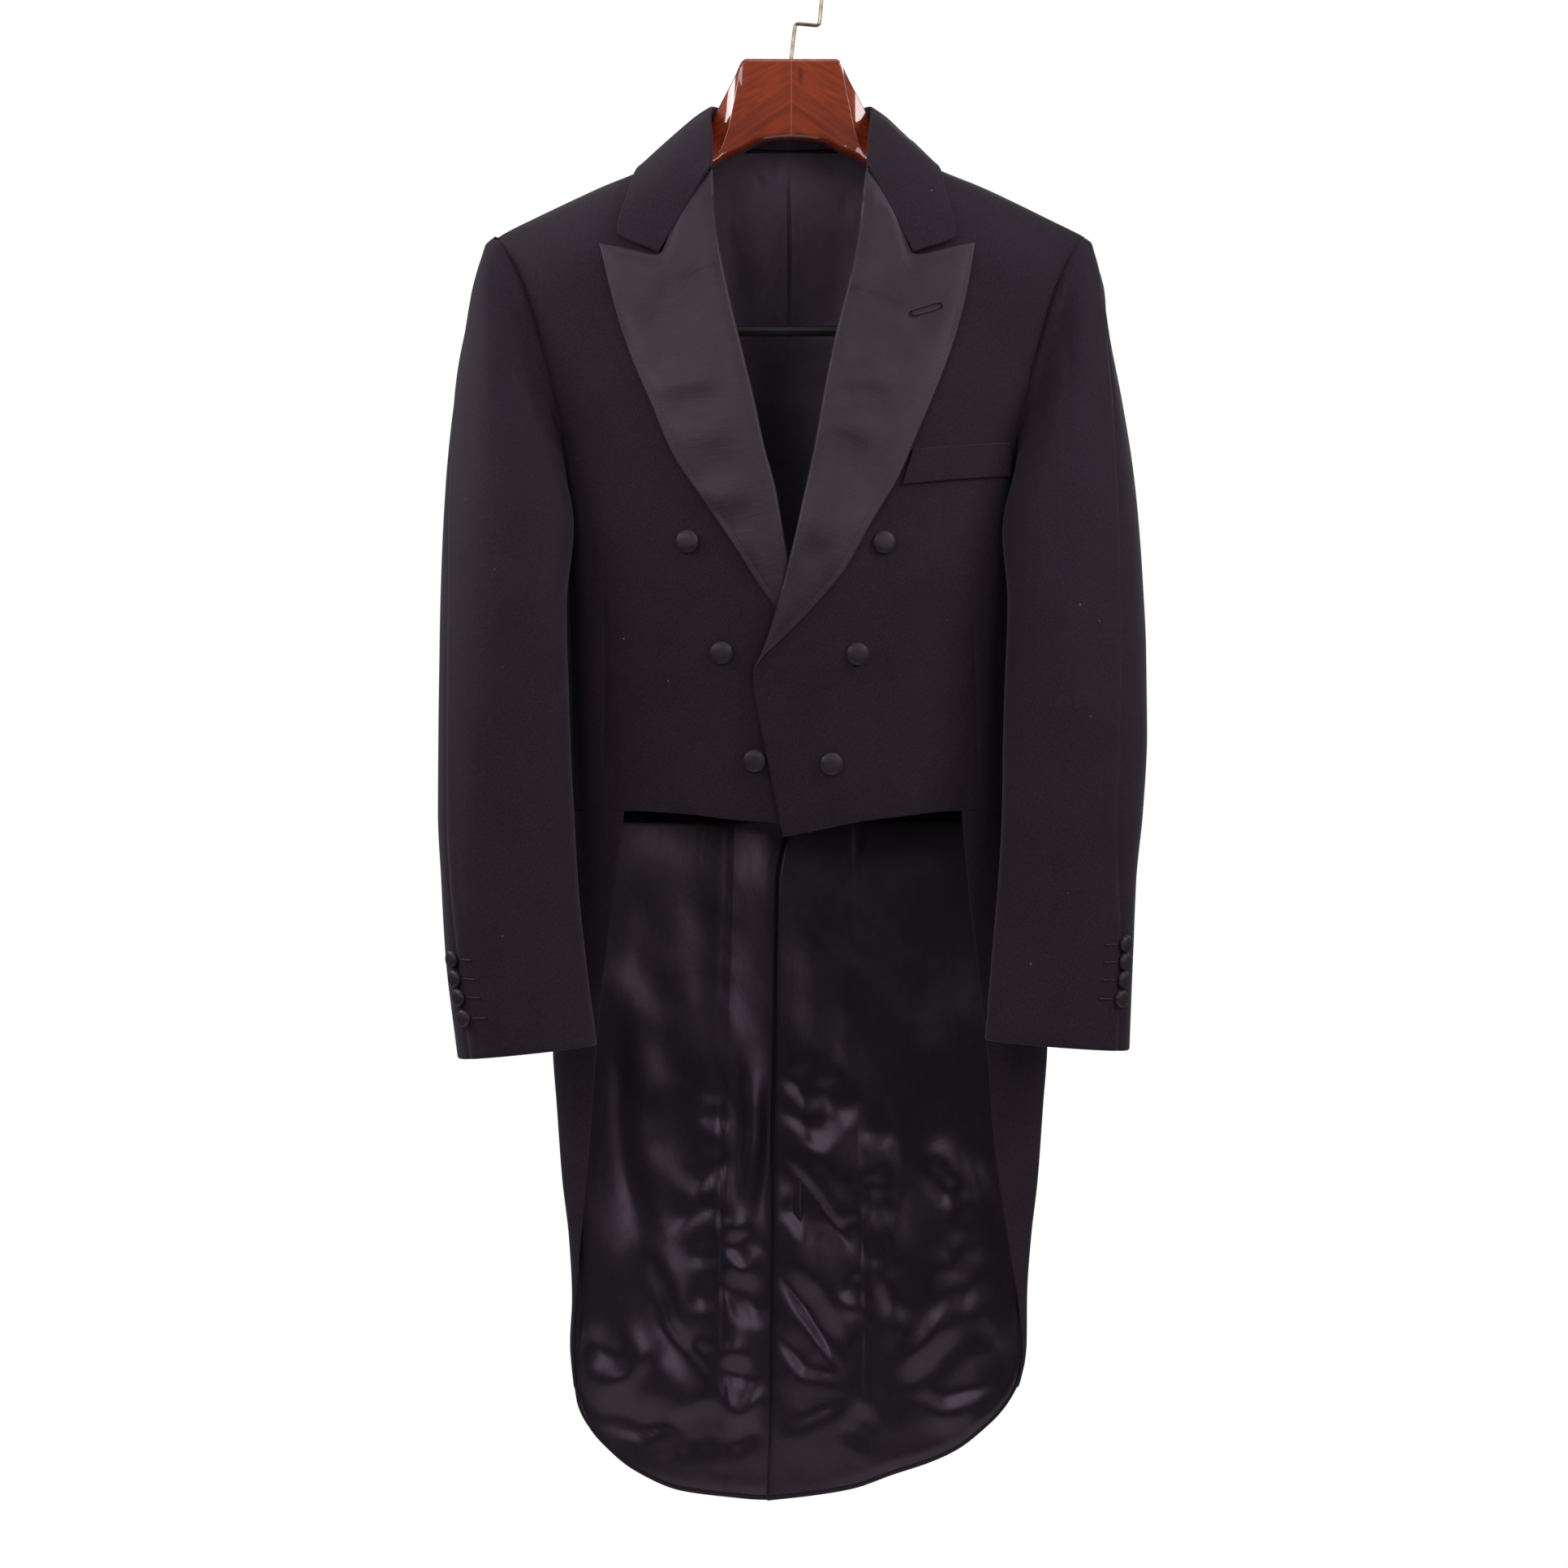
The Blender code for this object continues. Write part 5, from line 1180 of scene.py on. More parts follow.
def lacquered_wood(name):
    """Red-brown stained wood, its two halves book-matched about the middle, under clear gloss."""
    made, tree, shader = new_material(name)
    solid = tree.nodes.new("ShaderNodeTexCoord").outputs["Object"]
    split = tree.nodes.new("ShaderNodeSeparateXYZ")
    tree.links.new(solid, split.inputs[0])
    across = math_node(tree, "ABSOLUTE", split.outputs[0])
    slant = math_node(tree, "ADD", split.outputs[2], math_node(tree, "MULTIPLY", across, 0.62))
    joined = tree.nodes.new("ShaderNodeCombineXYZ")
    tree.links.new(across, joined.inputs[0])
    tree.links.new(split.outputs[1], joined.inputs[1])
    tree.links.new(slant, joined.inputs[2])
    grain = noise(tree, stretched(tree, joined.outputs[0], (14, 40, 150)), 1.0, 5.0, 0.62, 1.6)
    fine = noise(tree, stretched(tree, joined.outputs[0], (40, 160, 900)), 1.0, 3.0, 0.6, 0.4)
    patch = noise(tree, joined.outputs[0], 18.0, 3.0, 0.5, 0.5)
    tone = math_node(
        tree, "ADD",
        math_node(tree, "MULTIPLY", grain, 0.55),
        math_node(tree, "ADD", math_node(tree, "MULTIPLY", fine, 0.15), math_node(tree, "MULTIPLY", patch, 0.30)),
    )
    colour = ramp(
        tree, tone,
        ((0.34, (0.110, 0.011, 0.002)), (0.66, (0.330, 0.045, 0.006)), (0.50, (0.230, 0.027, 0.003))),
    )
    # One small dark burl, and the pale glue line between the two halves.
    burl = tree.nodes.new("ShaderNodeVectorMath")
    burl.operation = "SUBTRACT"
    tree.links.new(solid, burl.inputs[0])
    burl.inputs[1].default_value = (0.0072, 0.0, -0.0985)
    shrunk = tree.nodes.new("ShaderNodeVectorMath")
    shrunk.operation = "MULTIPLY"
    tree.links.new(burl.outputs[0], shrunk.inputs[0])
    shrunk.inputs[1].default_value = (170.0, 0.0, 58.0)
    far = tree.nodes.new("ShaderNodeVectorMath")
    far.operation = "LENGTH"
    tree.links.new(shrunk.outputs[0], far.inputs[0])
    knot = ramp(tree, math_node(tree, "ADD", far.outputs["Value"], math_node(tree, "MULTIPLY", grain, 0.9)), ((0.55, (0.72, 0.72, 0.72)), (1.15, (0, 0, 0))))
    glue = ramp(tree, math_node(tree, "MULTIPLY", across, 100.0), ((0.03, (0.45, 0.45, 0.45)), (0.07, (0, 0, 0))))
    for amount, tint in ((knot, (0.050, 0.008, 0.003, 1)), (glue, (0.42, 0.13, 0.07, 1))):
        mix = tree.nodes.new("ShaderNodeMix")
        mix.data_type = "RGBA"
        tree.links.new(amount, mix.inputs[0])
        tree.links.new(colour, mix.inputs[6])
        mix.inputs[7].default_value = tint
        colour = mix.outputs[2]
    tree.links.new(colour, shader.inputs["Base Color"])
    shader.inputs["Roughness"].default_value = 0.38
    shader.inputs["Specular IOR Level"].default_value = 0.15
    shader.inputs["Coat Weight"].default_value = 1.0
    shader.inputs["Coat Roughness"].default_value = 0.03
    shader.inputs["Coat IOR"].default_value = 1.75
    tree.links.new(bump(tree, fine, 0.05, 0.0004), shader.inputs["Normal"])
    return made


def wire_metal(name):
    made, tree, shader = new_material(name)
    solid = tree.nodes.new("ShaderNodeTexCoord").outputs["Object"]
    wear = noise(tree, solid, 160.0, 4.0, 0.6)
    tree.links.new(ramp(tree, wear, ((0.35, (0.34, 0.27, 0.18)), (0.65, (0.50, 0.42, 0.30)))), shader.inputs["Base Color"])
    tree.links.new(math_node(tree, "ADD", math_node(tree, "MULTIPLY", wear, 0.16), 0.20), shader.inputs["Roughness"])
    shader.inputs["Metallic"].default_value = 1.0
    tree.links.new(bump(tree, noise(tree, stretched(tree, solid, (900, 900, 60)), 1.0, 2.0), 0.06, 0.0003), shader.inputs["Normal"])
    return made


def enamel(name):
    made, tree, shader = new_material(name)
    solid = tree.nodes.new("ShaderNodeTexCoord").outputs["Object"]
    wear = noise(tree, solid, 90.0, 4.0, 0.6)
    tree.links.new(ramp(tree, wear, ((0.35, (0.006, 0.005, 0.006)), (0.65, (0.012, 0.010, 0.012)))), shader.inputs["Base Color"])
    tree.links.new(math_node(tree, "ADD", math_node(tree, "MULTIPLY", wear, 0.2), 0.34), shader.inputs["Roughness"])
    tree.links.new(bump(tree, wear, 0.05, 0.0005), shader.inputs["Normal"])
    return made


# ---------------------------------------------------------------- the coat


def viewer_xz(points, sign):
    return points[..., 0] * sign, points[..., 2]


def build_front(side, sign, material):
    points, normals, lift = front_grid(side)
    x, z = viewer_xz(points, sign)
    relief = creases(x, z, FRONT_CREASES[side]) + swell(x, z, 1 + (side == "left"), 52, 0.55)
    relief = relief * smoothstep(0, 14, lengths(points, 1)) * smoothstep(-150, -215, points[..., 2])
    relief += creases(x, z, FRONT_DARTS[side])
    # The roll line carries the lapel, so the cloth there stays put; seams sink a little.
    cols = lengths(points, 1)
    from_seam = cols[:, -1:] - cols
    relief -= 0.45 * np.exp(-((from_seam / 1.6) ** 2))
    relief = relief * smoothstep(0, 26, lengths(points, 1)[..., ] + 8)
    return cloth(
        f"front_{side}", sign, points, normals, lift, lift - WOOL, material, "wool",
        free=("start", "bottom"), relief=relief, sewn=("top", "end"),
    )


def build_side(side, sign, material):
    points, normals = side_grid(side)
    cols = lengths(points, 1)
    from_seam = np.minimum(cols, cols[:, -1:] - cols)
    x, z = viewer_xz(points, sign)
    relief = swell(points[..., 1] + x, z, 5, 44, 0.6) * smoothstep(0, 12, from_seam)
    relief -= 0.45 * np.exp(-((from_seam / 1.6) ** 2))
    down = lengths(points, 0)
    relief -= 0.4 * np.exp(-(((down[-1:] - down) / 1.6) ** 2))
    return cloth(f"side_{side}", sign, points, normals, 0, -WOOL, material, "wool", relief=relief, sewn=("top", "bottom", "start", "end"))


def build_back(side, sign, material):
    points, normals, lift, waist = back_grid(side)
    x, z = viewer_xz(points, sign)
    cols = lengths(points, 1)
    from_seam = cols[:, -1:] - cols
    relief = (creases(x, z, BACK_CREASES[side]) + swell(x, z, 8 + (side == "left"), 48, 0.6)) * smoothstep(0, 12, cols)
    relief = relief * smoothstep(-150, -215, points[..., 2]) * smoothstep(0, 12, from_seam)
    centre = np.exp(-((cols / 1.8) ** 2)) * smoothstep(-690, -675, points[..., 2])
    relief -= 0.45 * centre + 0.45 * np.exp(-((from_seam / 1.6) ** 2))
    cloth(
        f"back_{side}", sign, points, normals, lift, lift - WOOL, material, "wool",
        free=("bottom",), relief=relief, sewn=("top", "end"),
    )
    return points, normals, lift, waist


def build_skirt(side, sign, material):
    u = np.unique(np.concatenate([(0, 0.01, 0.03, 0.06), np.linspace(0, 7, 74), (6.96, 6.99)]))
    points, normals = skirt_grid(side, u)
    x, z = viewer_xz(points, sign)
    cols = lengths(points, 1)
    from_seam = cols[:, -1:] - cols
    down = lengths(points, 0)
    front = normals[..., 1] < 0.2
    relief = creases(x, z, SKIRT_CREASES[side]) + swell(x + points[..., 1], z, 11, 50, 0.8)
    relief = relief * smoothstep(0, 14, from_seam) * smoothstep(0, 10, down) * np.where(front, 1.0, 0.8)
    relief -= 0.45 * np.exp(-((from_seam / 1.6) ** 2)) + 0.6 * np.exp(-((down / 2.0) ** 2))
    return cloth(
        f"skirt_{side}", sign, points, normals, 0, -WOOL, material, "wool",
        free=("start", "bottom"), relief=relief, sewn=("top", "end"),
    ), u


def build_tail_lining(side, sign, u, back, material):
    """Lining over a whole tail: skirt part then back part, rumpled towards the front."""
    at_lining = np.unique(np.concatenate([np.linspace(2.0, 7, 62), (2.03,)]))
    skirt = skirt_grid(side, at_lining)
    points, normals, lift, waist = back
    tail = points[waist:, ::-1], normals[waist:, ::-1], lift[waist:, ::-1]
    p = np.concatenate([skirt[0], tail[0][:, 2:-2]], axis=1)
    n = np.concatenate([skirt[1], tail[1][:, 2:-2]], axis=1)
    lifts = np.concatenate([np.zeros(skirt[0].shape[:2]), tail[2][:, 2:-2]], axis=1)
    cols = lengths(p, 1)
    # Inside the edges of its tail: 5 mm from the free edge, 3 mm from the vent, 8 mm above the hem.
    keep_rows = slice(0, len(p) - 2)
    p, n, lifts, cols = p[keep_rows], n[keep_rows], lifts[keep_rows], cols[keep_rows]
    x, z = viewer_xz(p, sign)
    x_seam, z_seam = at(LINING_SEAMS[side][::2], LINING_SEAMS[side][1::2])
    order = np.argsort(z_seam)
    seam = np.interp(z, z_seam[order], x_seam[order])
    near = np.exp(-(((x - seam) / 9.0) ** 2))
    pucker = near * (0.5 + 0.5 * np.sin(z / 5.6 + 2.6 * np.sin(z / 31.0) + 0.12 * (x - seam))) * smoothstep(-700, -800, z)
    pucker = pucker * (0.45 + 0.55 * np.sin(z / 41.0 + 0.8) ** 2)
    groove = np.exp(-(((x - seam) / 1.3) ** 2))
    rumple = creases(x, z, LINING_CREASES[side])
    slow = swell(x, z * 0.6, 14 + (side == "left"), 42, 1.2) + swell(x * 1.2 + z * 0.3, z, 22, 17, 0.35)
    low = 0.45 + 0.55 * smoothstep(-700, -860, z)
    height = 6.4 * low + 1.1 * slow * low + 1.35 * rumple * (0.75 + 0.25 * smoothstep(-780, -860, z)) + 0.5 * pucker - 1.0 * groove
    down = lengths(p, 0)
    # The slack runs out slowly towards the hem, while the folds keep on to its stitching.
    height = height - 5.2 * low * smoothstep(74, 2, down[-1:] - down)
    height = np.where(height > 0.8, height, 0.8 * np.exp(np.clip(height / 0.8 - 1.0, -6, 0)))
    inside = smoothstep(-2, 12, cols) * smoothstep(-2, 4, cols[:, -1:] - cols)
    inside = inside * smoothstep(-2, 7, down[-1:] - down) * smoothstep(0, 8, down)
    height = np.maximum(height, 0) * inside
    base = lifts - WOOL - 0.9
    return cloth(
        f"lining_tail_{side}", sign, p, n, base, base - LINING, material, "tail_lining",
        relief=-height, roll=0.5,
    )


def build_lapel(side, sign, material):
    table = LAPEL[side]
    s = np.concatenate([[0, 0.002, 0.006], np.linspace(0.012, 0.99, 150), [0.996, 1.0]])
    s = (s + 0.10 * np.sin(math.pi * s) * (s - 0.35))[:, None]
    roll = np.stack([table("roll_x", s), table("roll_z", s)], axis=-1)
    edge = np.stack([table("edge_x", s), table("edge_z", s)], axis=-1)
    span = np.linalg.norm(edge - roll, axis=-1)
    wrap = (1 - smoothstep(0.84, 0.92, s)) * smoothstep(0.0, 0.07, s)
    clear = 0.45 + 0.7 * (1 - smoothstep(0.1, 0.4, s))
    u = np.concatenate([np.linspace(0, 1, 8)[:-1] * 0.08, np.linspace(0.08, 0.985, 62), (0.991, 0.996, 1.0)])[None]
    f = u * np.minimum(1.0, 1.0) * np.ones_like(s)
    straight = roll * (1 - f[..., None]) + edge * f[..., None]
    top = np.stack([GORGE(side + "_x", f), GORGE(side + "_z", f)], axis=-1)
    start = np.array((table("roll_x", 0.0), table("roll_z", 0.0)))
    finish = np.array((table("edge_x", 0.0), table("edge_z", 0.0)))
    level = start * (1 - f[..., None]) + finish * f[..., None]
    xz = straight + (top - level) * (np.maximum(1 - s / 0.45, 0.0) ** 2)[..., None]
    points, normals = form_x(side, xz[..., 0], xz[..., 1])
    lift = front_lift(xz[..., 0], xz[..., 1]) if side == "left" else 0.0
    belly = 1.4 * wrap * (1 - f) ** 4
    clear = clear + 2.0 * f * f * smoothstep(0.0, 0.22, s) * (1 - smoothstep(0.72, 0.95, s))
    low = clear + belly
    # Round the roll: the outer face curls down over the fold in the first few millimetres.
    inward = f * span
    curl = np.sqrt(np.clip(1 - (1 - np.clip(inward / 2.6, 0, 1)) ** 2, 0, 1))
    bottom = low * (1 - wrap * (1 - curl)) - 1.4 * wrap * (1 - curl)
    out = clear + SATIN + belly
    out = bottom + (out - bottom) * np.where(wrap > 0.01, 0.25 + 0.75 * curl, 1.0)
    x, z = viewer_xz(points, sign)
    relief = 1.7 * creases(x, z, LAPEL_CREASES[side]) + swell(x, z, 31 + (side == "left"), 26, 0.34)
    relief = relief + 0.9 * smoothstep(0, 14, (1 - f) * span) * smoothstep(0, 16, lengths(points, 0))
    relief = np.maximum(relief * smoothstep(0, 9, inward), -0.35)
    relief = relief * smoothstep(0, 5, (1 - f) * span) + 0.25
    # A stitched edge sinks slightly 6 mm in from the free edge.
    free = np.minimum((1 - f) * span, lengths(points, 0))
    relief -= 0.16 * np.exp(-(((free - 5.0) / 0.9) ** 2))
    obj = cloth(
        f"lapel_{side}", sign, points, normals, lift + out, lift + bottom, material, "lapel_satin",
        free=("end", "top", "bottom"), relief=relief, roll=1.0,
    )
    return obj


def build_sleeve(side, sign, under, material):
    points, normals = sleeve_grid(side, under)
    r = SLEEVE_RINGS
    hind, front = SLEEVE[side]("hind", r), FRONT_SLEEVE_SEAM
    cols = lengths(points, 1)
    f = cols / cols[:, -1:]
    first = np.full_like(r, front) if under else hind
    last = 360 + hind if under else np.full_like(r, front)
    theta = np.radians(first[:, None] + (last - first)[:, None] * f)
    relief = sleeve_creases(side, r[:, None], np.mod(theta + math.radians(70), 2 * math.pi) - math.radians(70))
    from_seam = np.minimum(cols, cols[:, -1:] - cols)
    down = lengths(points, 0)
    turn = np.degrees(theta)
    # The sleeve's head is fuller just off the armhole seam, and the seam itself is sunk.
    head = 1.6 * np.exp(-(((down - 9) / 7.0) ** 2)) * np.clip(np.cos(theta) * 0.5 + 0.5, 0, 1)
    head = head + 0.25 * np.sin(np.degrees(theta) * 0.9) * np.exp(-(((down - 8) / 8.0) ** 2)) * np.clip(np.cos(theta), 0, 1)
    relief = relief * smoothstep(0, 10, from_seam) * smoothstep(0, 10, down) + head
    full = 8.0 if side == "right" else 7.0
    relief = relief + full * np.exp(-(((turn - 178) / 36) ** 2)) * smoothstep(0, 7, down) * smoothstep(140, 60, down)
    relief = relief + 5.0 * np.exp(-(((turn - 146) / 26) ** 2)) * smoothstep(0, 22, down) * smoothstep(170, 50, down)
    hind_gap = cols[:, -1:] - cols if under else cols
    relief -= 0.4 * np.exp(-((from_seam / 1.6) ** 2)) + 1.1 * np.exp(-((down / 2.4) ** 2))
    relief -= 0.7 * np.exp(-((hind_gap / 3.0) ** 2)) - (0.0 if under else 0.8) * np.exp(-(((hind_gap - 7) / 4.0) ** 2)) * smoothstep(0, 30, down)
    name = f"sleeve_{'under' if under else 'top'}_{side}"
    return cloth(
        name, sign, points, normals, 0, -WOOL, material, "wool",
        free=("bottom",), relief=relief, sewn=("top", "start", "end"),
    )


def build_collar(material):
    columns = np.unique(np.concatenate([np.linspace(0, 1, 54), np.linspace(0.28, 0.46, 20), (0.985, 0.993, 0.9975)]))
    mid = collar_mid(columns)
    du, dv = np.gradient(mid, axis=0), np.gradient(mid, axis=1)
    normals = unit(np.cross(du, dv))
    if normals[len(mid) // 2, -1, 1] < 0:
        normals = -normals
    x, z = mid[..., 0], mid[..., 2]
    relief = swell(x + mid[..., 1], z, 40, 34, 0.25) * smoothstep(0.5, 0.7, columns)[None]
    rows, cols = lengths(mid, 0), lengths(mid, 1)
    free = np.minimum(np.minimum(rows, rows[-1:] - rows), cols[:, -1:] - cols)
    relief -= 0.14 * np.exp(-(((free - 5.0) / 0.9) ** 2))
    return cloth(
        "collar", 1, mid, normals, 1.1, -1.1, material, "wool",
        free=("top", "bottom", "end"), relief=relief, roll=0.9,
    )


def build_pocket(material):
    """Breast pocket welt, turned in and stitched down at both ends."""
    corners = (91.5, -393.5), (166, -385.5), (83.5, -420.5), (167.5, -411.5)
    f, v = np.meshgrid(steps(60, (0.006, 0.014), (0.006, 0.014)), steps(26, (0.02, 0.05), (0.02, 0.05)))
    a, b, c, d = (np.array(p) for p in corners)
    xz = (a * (1 - f[..., None]) + b * f[..., None]) * (1 - v[..., None]) + (c * (1 - f[..., None]) + d * f[..., None]) * v[..., None]
    points, normals = form_x("left", xz[..., 0], xz[..., 1])
    cols = lengths(points, 1)
    ends = np.minimum(cols, cols[:, -1:] - cols)
    x, z = points[..., 0], points[..., 2]
    under = creases(x, z, FRONT_CREASES["left"]) + swell(x, z, 2, 52, 0.55)
    relief = under - 0.35 * np.exp(-(((ends - 2.2) / 0.8) ** 2)) + swell(x, z, 6, 18, 0.12)
    return cloth(
        "pocket_welt", 1, points, normals, 2.5, 0.3, material, "wool",
        free=("start", "end", "top", "bottom"), relief=relief, roll=0.9,
    )


def build_back_lining(material):
    rows = [("round", 1 - math.cos(math.radians(a))) for a in np.linspace(18, 90, 12)]
    rows += [("chest", w) for w in np.linspace(0, 1, 26)[1:]]
    rows += [("low", w) for w in np.linspace(0, 1, 90)[1:]]
    x = np.unique(np.concatenate([np.linspace(-128, 128, 96), np.linspace(-5, 7, 14)]))
    ax = np.abs(x)
    zs = []
    for kind, w in rows:
        if kind == "round":
            zs.append((1 - w) * top_z(ax) + w * (SHOULDER("z", ax) - ROUND_BACK))
        elif kind == "chest":
            zs.append((1 - w) * (SHOULDER("z", ax) - ROUND_BACK) + w * SIDE_TOP_BACK)
        else:
            zs.append(np.full_like(ax, SIDE_TOP_BACK * (1 - w) + w * (WAIST + 1.5)))
    z = np.array(zs)
    xx = np.broadcast_to(x, z.shape)
    left, right = form_x("left", np.abs(xx), z, True), form_x("right", np.abs(xx), z, True)
    positive = (xx >= 0)[..., None]
    flip = np.where(xx >= 0, 1.0, -1.0)[..., None] * np.array((1, 0, 0)) + np.array((0, 1, 1))
    points = np.where(positive, left[0], right[0]) * flip
    normals = np.where(positive, left[1], right[1]) * flip
    relief = -creases(points[..., 0], points[..., 2], BACK_LINING_CREASES)
    relief = np.clip(relief - swell(points[..., 0], points[..., 2], 51, 24, 0.7) - 0.4, -4.0, 1.2)
    cols, down = lengths(points, 1), lengths(points, 0)
    relief = relief * smoothstep(0, 8, cols) * smoothstep(0, 8, cols[:, -1:] - cols) * smoothstep(0, 8, down)
    low = -WOOL - 2.2
    return cloth(
        "lining_back", 1, points, normals, low, low - LINING, material, "back_lining",
        free=("bottom",), relief=relief, roll=0.5,
    )


def revolve(name, point, normal, sign, profile, sides, material, wobble=0.0):
    """A turned form about the normal at a point: the profile's rows are radius, height."""
    normal = normal / np.linalg.norm(normal)
    u = np.cross(np.array((0, 0, 1.0)), normal)
    u /= np.linalg.norm(u)
    v = np.cross(normal, u)
    a = np.linspace(0, 2 * math.pi, sides, endpoint=False)
    circle = np.cos(a)[:, None] * u + np.sin(a)[:, None] * v
    rings = []
    for radius, height in profile:
        wave = 1 + wobble * np.sin(9 * a + radius) * np.clip(radius / profile[2][0], 0, 1)
        rings.append(point + normal * height + circle * (radius * wave)[:, None])
    count = len(rings)
    points = np.concatenate(rings + [[point + normal * profile[0][1]], [point + normal * (profile[-1][1] + 0.02)]])
    points = points * np.array((sign, 1, 1)) * MM
    j = np.arange(sides)
    nxt = (j + 1) % sides
    faces = []
    for k in range(count - 1):
        a0, b0 = k * sides + j, k * sides + nxt
        faces += [np.stack([a0, b0, b0 + sides], axis=-1), np.stack([a0, b0 + sides, a0 + sides], axis=-1)]
    low, high = count * sides, count * sides + 1
    faces.append(np.stack([np.full(sides, low), nxt, j], axis=-1))
    faces.append(np.stack([(count - 1) * sides + j, (count - 1) * sides + nxt, np.full(sides, high)], axis=-1))
    faces = np.concatenate(faces)
    p = points[faces]
    if np.einsum("ij,ij->", p[:, 0], np.cross(p[:, 1], p[:, 2])) < 0:
        faces = faces[:, ::-1]
    return mesh_object(name, points, faces, material, 60)


def build_button(name, sign, point, normal, diameter, material):
    r = diameter / 2
    curve = Table(
        "k radius height",
        (
            (0, 0.60, 0.3), (1, 0.90, 0.9), (2, 1.0, 2.1), (3, 0.975, 2.9), (4, 0.90, 3.7),
            (5, 0.74, 4.5), (6, 0.52, 5.0), (7, 0.26, 5.25), (8, 0.02, 5.3),
        ),
    )
    k = np.linspace(0, 8, 26)
    profile = list(zip(curve("radius", k) * r, curve("height", k)))
    obj = revolve(name, point, normal, sign, profile, 40, material, 0.006)
    return piece(obj, "button_satin", name)


def tube_object(name, path, radius, material, sides=10, closed=False):
    path = np.asarray(path, float)
    if closed:
        tangent = np.roll(path, -1, axis=0) - np.roll(path, 1, axis=0)
    else:
        tangent = np.gradient(path, axis=0)
    tangent = unit(tangent)
    helper = np.array((0.0, 1.0, 0.0))
    side = unit(np.cross(tangent, helper))
    up = np.cross(side, tangent)
    a = np.linspace(0, 2 * math.pi, sides, endpoint=False)
    radius = np.broadcast_to(np.asarray(radius, float), (len(path),))
    points = path[:, None] + radius[:, None, None] * (np.cos(a)[None, :, None] * side[:, None] + np.sin(a)[None, :, None] * up[:, None])
    n = len(path)
    j = np.arange(sides)
    nxt = (j + 1) % sides
    faces = []
    for i in range(n if closed else n - 1):
        k = (i + 1) % n
        faces += [
            np.stack([i * sides + j, i * sides + nxt, k * sides + nxt], axis=-1),
            np.stack([i * sides + j, k * sides + nxt, k * sides + j], axis=-1),
        ]
    points = points.reshape(-1, 3)
    if not closed:
        points = np.concatenate([points, path[:1], path[-1:]])
        faces.append(np.stack([np.full(sides, n * sides), nxt, j], axis=-1))
        faces.append(np.stack([(n - 1) * sides + j, (n - 1) * sides + nxt, np.full(sides, n * sides + 1)], axis=-1))
    faces = np.concatenate(faces)
    points = points * MM
    p = points[faces]
    if np.einsum("ij,ij->", p[:, 0], np.cross(p[:, 1], p[:, 2])) < 0:
        faces = faces[:, ::-1]
    return mesh_object(name, points, faces, material, 60)


